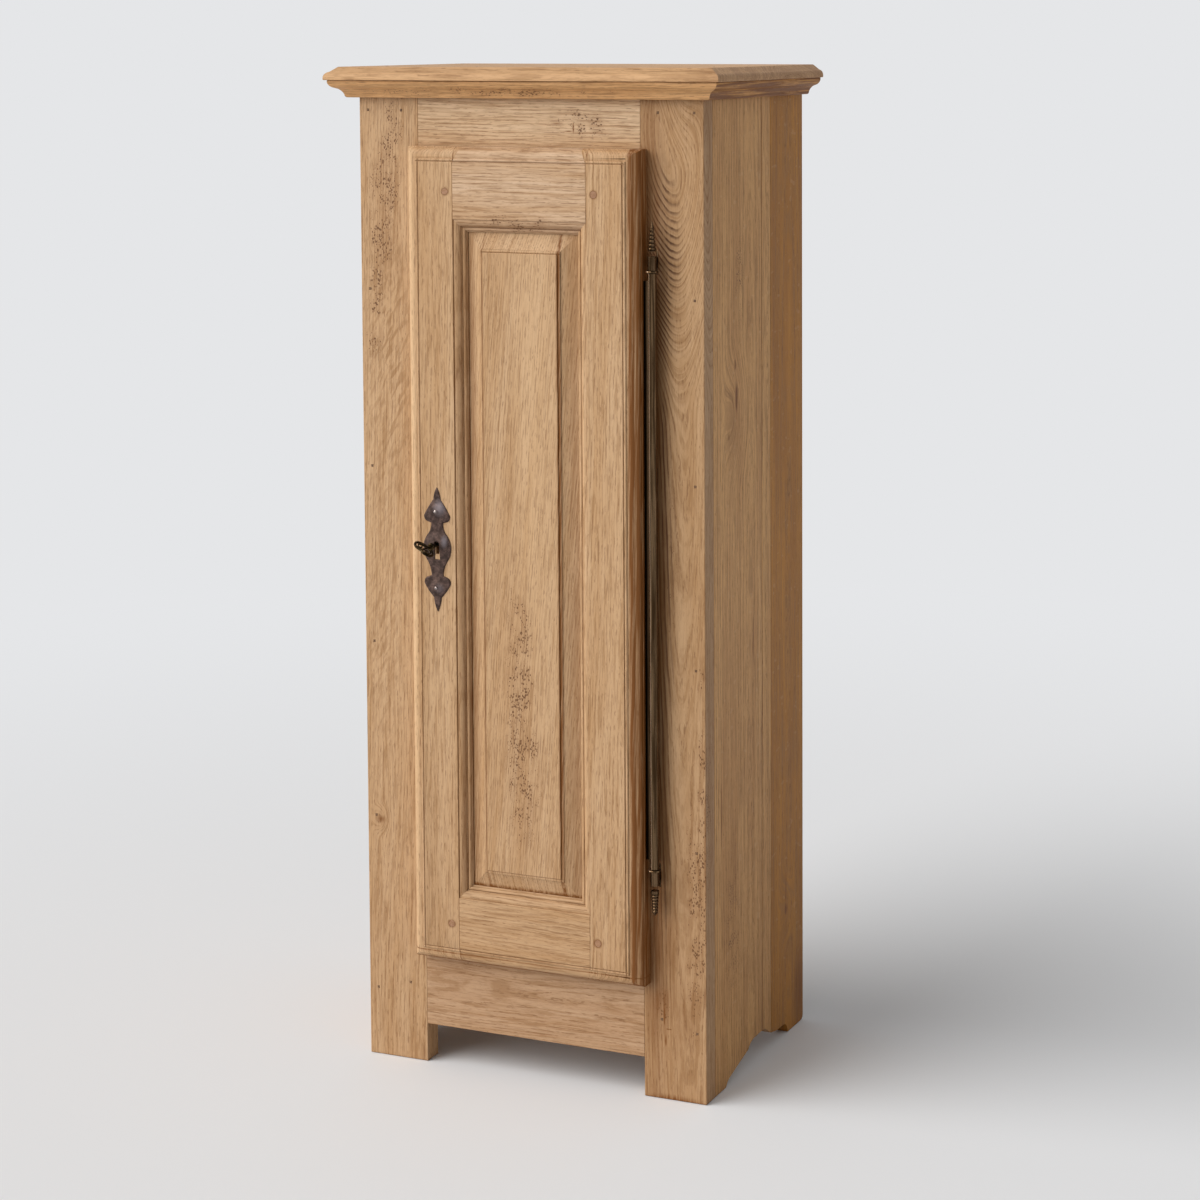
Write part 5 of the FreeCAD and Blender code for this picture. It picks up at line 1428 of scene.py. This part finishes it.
# %% [markdown]
# The net is rows of points set like bricks, which keeps its triangles even. Only points on the
# sheet are kept, a little away from its rim and holes, and a constrained Delaunay net joins them
# to the outlines. It fills the holes too, so the faces whose middle lies in one are left out.

# %% Fill the outline with a net
NET = 0.0013
NET_ROW = NET * 0.87
NET_MARGIN = NET * 0.45


def inside(loop, point):
    """Whether a point lies within a closed outline."""
    crossed = False
    for a, b in zip(loop, loop[1:] + loop[:1]):
        if (a.y > point.y) != (b.y > point.y):
            if point.x < a.x + (point.y - a.y) / (b.y - a.y) * (b.x - a.x):
                crossed = not crossed
    return crossed


def on_sheet(point):
    """Whether a point lies within the plate's rim and in none of its holes."""
    rim, *holes = plate_loops
    return inside(rim, point) and not any(inside(hole, point) for hole in holes)


corners, edges = [], []
for loop in plate_loops:
    first = len(corners)
    corners += loop
    edges += [(first + i, first + (i + 1) % len(loop)) for i in range(len(loop))]
columns = round((plate_high.x - plate_low.x) / NET)
rows = round((plate_high.z - plate_low.z) / NET_ROW)
for row in range(rows):
    for column in range(columns):
        across = plate_low.x + NET * (column + 0.5 * (row % 2))
        point = Vector((across, plate_low.z + NET_ROW * row))
        if on_sheet(point) and min(distance_to(loop, point) for loop in plate_loops) > NET_MARGIN:
            corners.append(point)
net, _, net_faces, *_ = delaunay_2d_cdt(corners, edges, [], 0, 0.000001)
middles = [sum((net[i] for i in face), Vector((0, 0))) / 3 for face in net_faces]
net_faces = [face for face, middle in zip(net_faces, middles) if on_sheet(middle)]
print("plate net:", len(net), "corners,", len(net_faces), "faces")

# %% [markdown]
# The net is used twice, raised for the front and flat for the back, and a strip of faces along
# the rim and the holes closes the plate, so that it is a solid and not a thin skin.

# %% Close the plate
plate_shape = bmesh.new()
door_face = plate_high.y
heights = [plate_height(point) for point in net]
fronts = [plate_shape.verts.new((p.x, door_face - rise, p.y)) for p, rise in zip(net, heights)]
backs = [plate_shape.verts.new((p.x, door_face, p.y)) for p in net]
for face in net_faces:
    plate_shape.faces.new([fronts[i] for i in face])
    plate_shape.faces.new([backs[i] for i in reversed(face)])
back_of = dict(zip(fronts, backs))
open_edges = [edge for edge in plate_shape.edges if edge.is_boundary and edge.verts[0] in back_of]
for edge in open_edges:
    a, b = edge.verts
    plate_shape.faces.new([a, b, back_of[b], back_of[a]])
loose = [vert for vert in plate_shape.verts if not vert.link_faces]
bmesh.ops.delete(plate_shape, geom=loose, context="VERTS")
bmesh.ops.recalc_face_normals(plate_shape, faces=plate_shape.faces)
finish_piece("escutcheon_forged", plate_shape, "escutcheon", IRONS["plate_iron"], 45)
print("plate stands off the door by", round(max(heights) * 1000, 2), "mm")

# %% [markdown]
# ## The key
# The key's bow is openwork: a kidney-shaped ring with a stem up its middle and a scroll on each
# side. Wire like that is easiest to draw as curves with a round section, which are then turned
# into a mesh. It is built with the bow upright and turned to where the key rests at the end.

# %% Bend the wires of the bow
BOW_LONG = 0.024
BOW_HALF = 0.0160
BOW_RING = 0.0019
BOW_STEM = 0.0016
BOW_SCROLL = 0.0011
bow_middle = key_low.y + BOW_LONG / 2
out = BOW_HALF - BOW_RING
deep = BOW_LONG / 2 - BOW_RING
key_parts = []


def wire(shares, thick, closed=False):
    """A smooth wire through places given as shares of the bow's depth and of its half width."""
    curve = bpy.data.curves.new("wire", "CURVE")
    curve.dimensions = "3D"
    curve.bevel_depth = thick
    curve.bevel_resolution = 4
    curve.resolution_u = 10
    spline = curve.splines.new("NURBS")
    spline.points.add(len(shares) - 1)
    for control, (along, across) in zip(spline.points, shares):
        control.co = (0.0, bow_middle + deep * along, out * across, 1.0)
    spline.use_cyclic_u = closed
    spline.order_u = 3
    spline.use_endpoint_u = not closed
    curve.use_fill_caps = True
    key_parts.append(real_mesh(in_scene("wire", curve)))


HALF_RING = [(1.02, 0.42), (0.30, 1.12), (-0.85, 0.98), (-1.20, 0.40)]
other_half = [(along, -across) for along, across in reversed(HALF_RING)]
wire([(0.95, 0.0), *HALF_RING, (-0.82, 0.0), *other_half], BOW_RING, closed=True)
wire([(1.0, 0.0), (0.0, 0.0), (-0.9, 0.0)], BOW_STEM)
SCROLL = [(0.80, 0.10), (0.55, 0.62), (-0.20, 0.80), (-0.62, 0.42), (-0.20, 0.18), (0.12, 0.42)]
for side in (1, -1):
    wire([(along, side * across) for along, across in SCROLL], BOW_SCROLL)
print(len(key_parts), "wires in the bow")

# %% [markdown]
# The shank is turned on a lathe, so one list of radii along its axis says all of it: a collar
# between two beads, a plain shank, and a thinner end for the lock's pin.

# %% Turn the shank
LATHE_STEPS = 32
SHANK = 0.0030
BIT_END = 0.0090
SHANK_SHAPE = [
    (-0.0020, 0.0016),
    (-0.0010, 0.0028),
    (0.0006, 0.0030),
    (0.0016, 0.0040),
    (0.0026, 0.0041),
    (0.0036, 0.0030),
    (0.0048, 0.0033),
    (0.0052, 0.0046),
    (0.0062, 0.0052),
    (0.0080, 0.0052),
    (0.0088, 0.0044),
    (0.0092, 0.0033),
    (0.0104, 0.0036),
    (0.0116, 0.0030),
]


def lathe(profile):
    """A turned shape round the key's own axis from (place along, radius) pairs."""
    shape = bmesh.new()
    rings = []
    for along, radius in profile:
        angles = [2 * math.pi * i / LATHE_STEPS for i in range(LATHE_STEPS)]
        places = [(radius * math.cos(angle), along, radius * math.sin(angle)) for angle in angles]
        rings.append([shape.verts.new(place) for place in places])
    for first, second in zip(rings, rings[1:]):
        for i in range(LATHE_STEPS):
            j = (i + 1) % LATHE_STEPS
            shape.faces.new([first[i], first[j], second[j], second[i]])
    shape.faces.new(rings[0])
    shape.faces.new(rings[-1])
    bmesh.ops.recalc_face_normals(shape, faces=shape.faces)
    return mesh_of("turned", shape)


collar_at = key_low.y + BOW_LONG
bit_low = key_high.y - BIT_END
shank_profile = [(collar_at + step, radius) for step, radius in SHANK_SHAPE]
shank_profile += [
    (bit_low, SHANK),
    (bit_low + 0.0005, 0.0025),
    (key_high.y - 0.0006, 0.0025),
    (key_high.y, 0.0018),
]
key_parts.append(lathe(shank_profile))
print("shank turned in", len(shank_profile), "steps")

# %% [markdown]
# The bit is a flat plate with slots for the wards of the lock. Its outline is drawn as shares of
# its length and depth, filled, and pushed out to its thickness.

# %% Cut the bit
BIT_LONG, BIT_DEEP, BIT_THICK = 0.0070, 0.0130, 0.0030
BIT_BEHIND_CASE = 0.0022
bit_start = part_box("lock_cover")[1].y + BIT_BEHIND_CASE
bit_outline = [
    (0.0, 0.0),
    (0.0, -0.70),
    (0.30, -0.70),
    (0.30, -0.86),
    (0.0, -0.86),
    (0.0, -1.0),
    (1.0, -1.0),
    (1.0, -0.62),
    (0.62, -0.62),
    (0.62, -0.46),
    (1.0, -0.46),
    (1.0, 0.0),
]
bit_shape = bmesh.new()
bit_face = bit_shape.faces.new(
    [
        bit_shape.verts.new((-BIT_THICK / 2, bit_start + BIT_LONG * along, BIT_DEEP * down))
        for along, down in bit_outline
    ]
)
pushed = bmesh.ops.extrude_face_region(bit_shape, geom=[bit_face])["geom"]
bit_verts = [item for item in pushed if isinstance(item, bmesh.types.BMVert)]
bmesh.ops.translate(bit_shape, verts=bit_verts, vec=(BIT_THICK, 0, 0))
bmesh.ops.recalc_face_normals(bit_shape, faces=bit_shape.faces)
bmesh.ops.bevel(
    bit_shape, geom=bit_shape.edges[:], offset=0.0002, segments=1, profile=0.5, affect="EDGES"
)
key_parts.append(mesh_of("bit", bit_shape))
print("bit", BIT_DEEP * 1000, "mm deep")

# %% [markdown]
# All the parts of the key become one piece, which is turned about its axis to where it rests in
# the lock.

# %% Rest the key in the lock
KEY_TURN = math.radians(55)
key_shape = bmesh.new()
for mesh in key_parts:
    key_shape.from_mesh(mesh)
rest = Matrix.Translation((key_at.x, 0, key_at.y)) @ Matrix.Rotation(KEY_TURN, 4, (0, -1, 0))
bmesh.ops.transform(key_shape, matrix=rest, verts=key_shape.verts)
finish_piece("key_forged", key_shape, "key", IRONS["key_iron"], 50)
print("key rests at", round(math.degrees(KEY_TURN)), "degrees")

# %% [markdown]
# ## Floor, light and camera
# The cabinet stands on a pale floor in soft light from a big window on the left. A lamp near by
# would leave the far floor dark, so the window is a wide, soft sun, and an even pale sky fills
# the shadows. The sky that the camera sees is paler than the sky that lights the wood, so the
# background stays white without washing out the oak. Far from the cabinet the floor fades into
# that same tone, so that no horizon shows.

# %% Lay the floor


def seen_rays(tree):
    """One for the rays that show a surface to the camera, in a mirror or through glass."""
    path = add(tree, "ShaderNodeLightPath")
    seen = calc(tree, "MAXIMUM", path.outputs["Is Camera Ray"], path.outputs["Is Glossy Ray"])
    return calc(tree, "MAXIMUM", seen, path.outputs["Is Transmission Ray"])


BACKDROP = tone(229, 230, 232)
FLOOR_TONE = tone(233, 236, 241)
FLOOR_DULL = 0.75
FLOOR_RADIUS = 14.0
FADE_FROM, FADE_TO = 0.9, 3.4
BELOW_FEET = 0.0005
floor_shape = bmesh.new()
bmesh.ops.create_circle(floor_shape, cap_ends=True, radius=FLOOR_RADIUS, segments=96)
floor_mesh = mesh_of("floor", floor_shape)
floor_finish, floor_tree, floor_shader = start_finish("floor_pale")
feed(floor_tree, floor_shader.inputs["Base Color"], FLOOR_TONE)
feed(floor_tree, floor_shader.inputs["Roughness"], FLOOR_DULL)
floor_place = add(floor_tree, "ShaderNodeTexCoord").outputs["Object"]
far = ramp(floor_tree, vector_calc(floor_tree, "LENGTH", floor_place), FADE_FROM, FADE_TO)
far = calc(floor_tree, "MULTIPLY", far, seen_rays(floor_tree))
haze = add(floor_tree, "ShaderNodeEmission", Color=BACKDROP, Strength=1.0)
ends = {"i1": floor_shader.outputs[0], "i2": haze.outputs[0]}
faded = add(floor_tree, "ShaderNodeMixShader", Fac=far, **ends)
feed(floor_tree, floor_tree.nodes["Material Output"].inputs["Surface"], faded.outputs[0])
floor_mesh.materials.append(floor_finish)
floor = in_scene("floor", floor_mesh)
floor.location.z = cad_box[0].z - BELOW_FEET
print("floor at", round(floor.location.z, 4))

# %% [markdown]
# The sky is two tones in one: the light that falls on the wood, and the paler backdrop that the
# camera sees. The window is a sun with a very wide disc, which gives the soft shadows of a room.

# %% Set the sky and the lamp
SKY_STRENGTH = 0.42
SUN_STRENGTH = 3.0
SUN_WIDTH = math.radians(60)
SUN_WAY = Vector((0.62, 0.56, -0.55))
world = bpy.data.worlds.new("pale_room")
bpy.context.scene.world = world
world.use_nodes = True
sky = world.node_tree
sky_light = sky.nodes["Background"]
feed(sky, sky_light.inputs["Color"], tone(236, 235, 232))
feed(sky, sky_light.inputs["Strength"], SKY_STRENGTH)
sky_seen = add(sky, "ShaderNodeBackground", Color=BACKDROP, Strength=1.0)
ends = {"i1": sky_light.outputs[0], "i2": sky_seen.outputs[0]}
either = add(sky, "ShaderNodeMixShader", Fac=seen_rays(sky), **ends)
feed(sky, sky.nodes["World Output"].inputs["Surface"], either.outputs[0])

window = bpy.data.lights.new("window", "SUN")
window.energy = SUN_STRENGTH
window.angle = SUN_WIDTH
window.color = tone(255, 251, 246)[:3]
window_lamp = in_scene("window", window)
window_lamp.rotation_mode = "QUATERNION"
window_lamp.rotation_quaternion = SUN_WAY.to_track_quat("-Z", "Y")
print("sky and", len(bpy.data.lights), "lamp")

# %% [markdown]
# The camera was found by fitting the cabinet's corners to the picture. It stands to the right
# and looks back at the cabinet, and the picture is cut from below its middle, so the lens is
# shifted.

# %% Set the camera
CAMERA_AT = Vector((1.7633, -3.6279, 1.5021))
YAW, PITCH, ROLL = -0.3981, 0.0740, -0.0027
ahead = Vector((math.sin(YAW) * math.cos(PITCH), math.cos(YAW) * math.cos(PITCH), 0))
ahead.z = -math.sin(PITCH)
right = Vector((math.cos(YAW), -math.sin(YAW), 0))
upward = right.cross(ahead)
rolled_right = right * math.cos(ROLL) + upward * math.sin(ROLL)
rolled_up = upward * math.cos(ROLL) - right * math.sin(ROLL)
turned = Matrix((rolled_right, rolled_up, -ahead)).transposed()
lens = bpy.data.cameras.new("camera")
lens.sensor_width = 36.0
lens.lens = 83.37
lens.shift_x = -0.1034
lens.shift_y = -0.3040
lens.dof.use_dof = False
camera = in_scene("camera", lens)
camera.matrix_world = Matrix.Translation(CAMERA_AT) @ turned.to_4x4()
bpy.context.scene.camera = camera
bpy.context.scene.view_settings.view_transform = "Standard"
print("camera at", [round(v, 3) for v in CAMERA_AT])

# %% [markdown]
# Last, the view layer is brought up to date.

# %% Bring the scene up to date and end
bpy.context.view_layer.update()
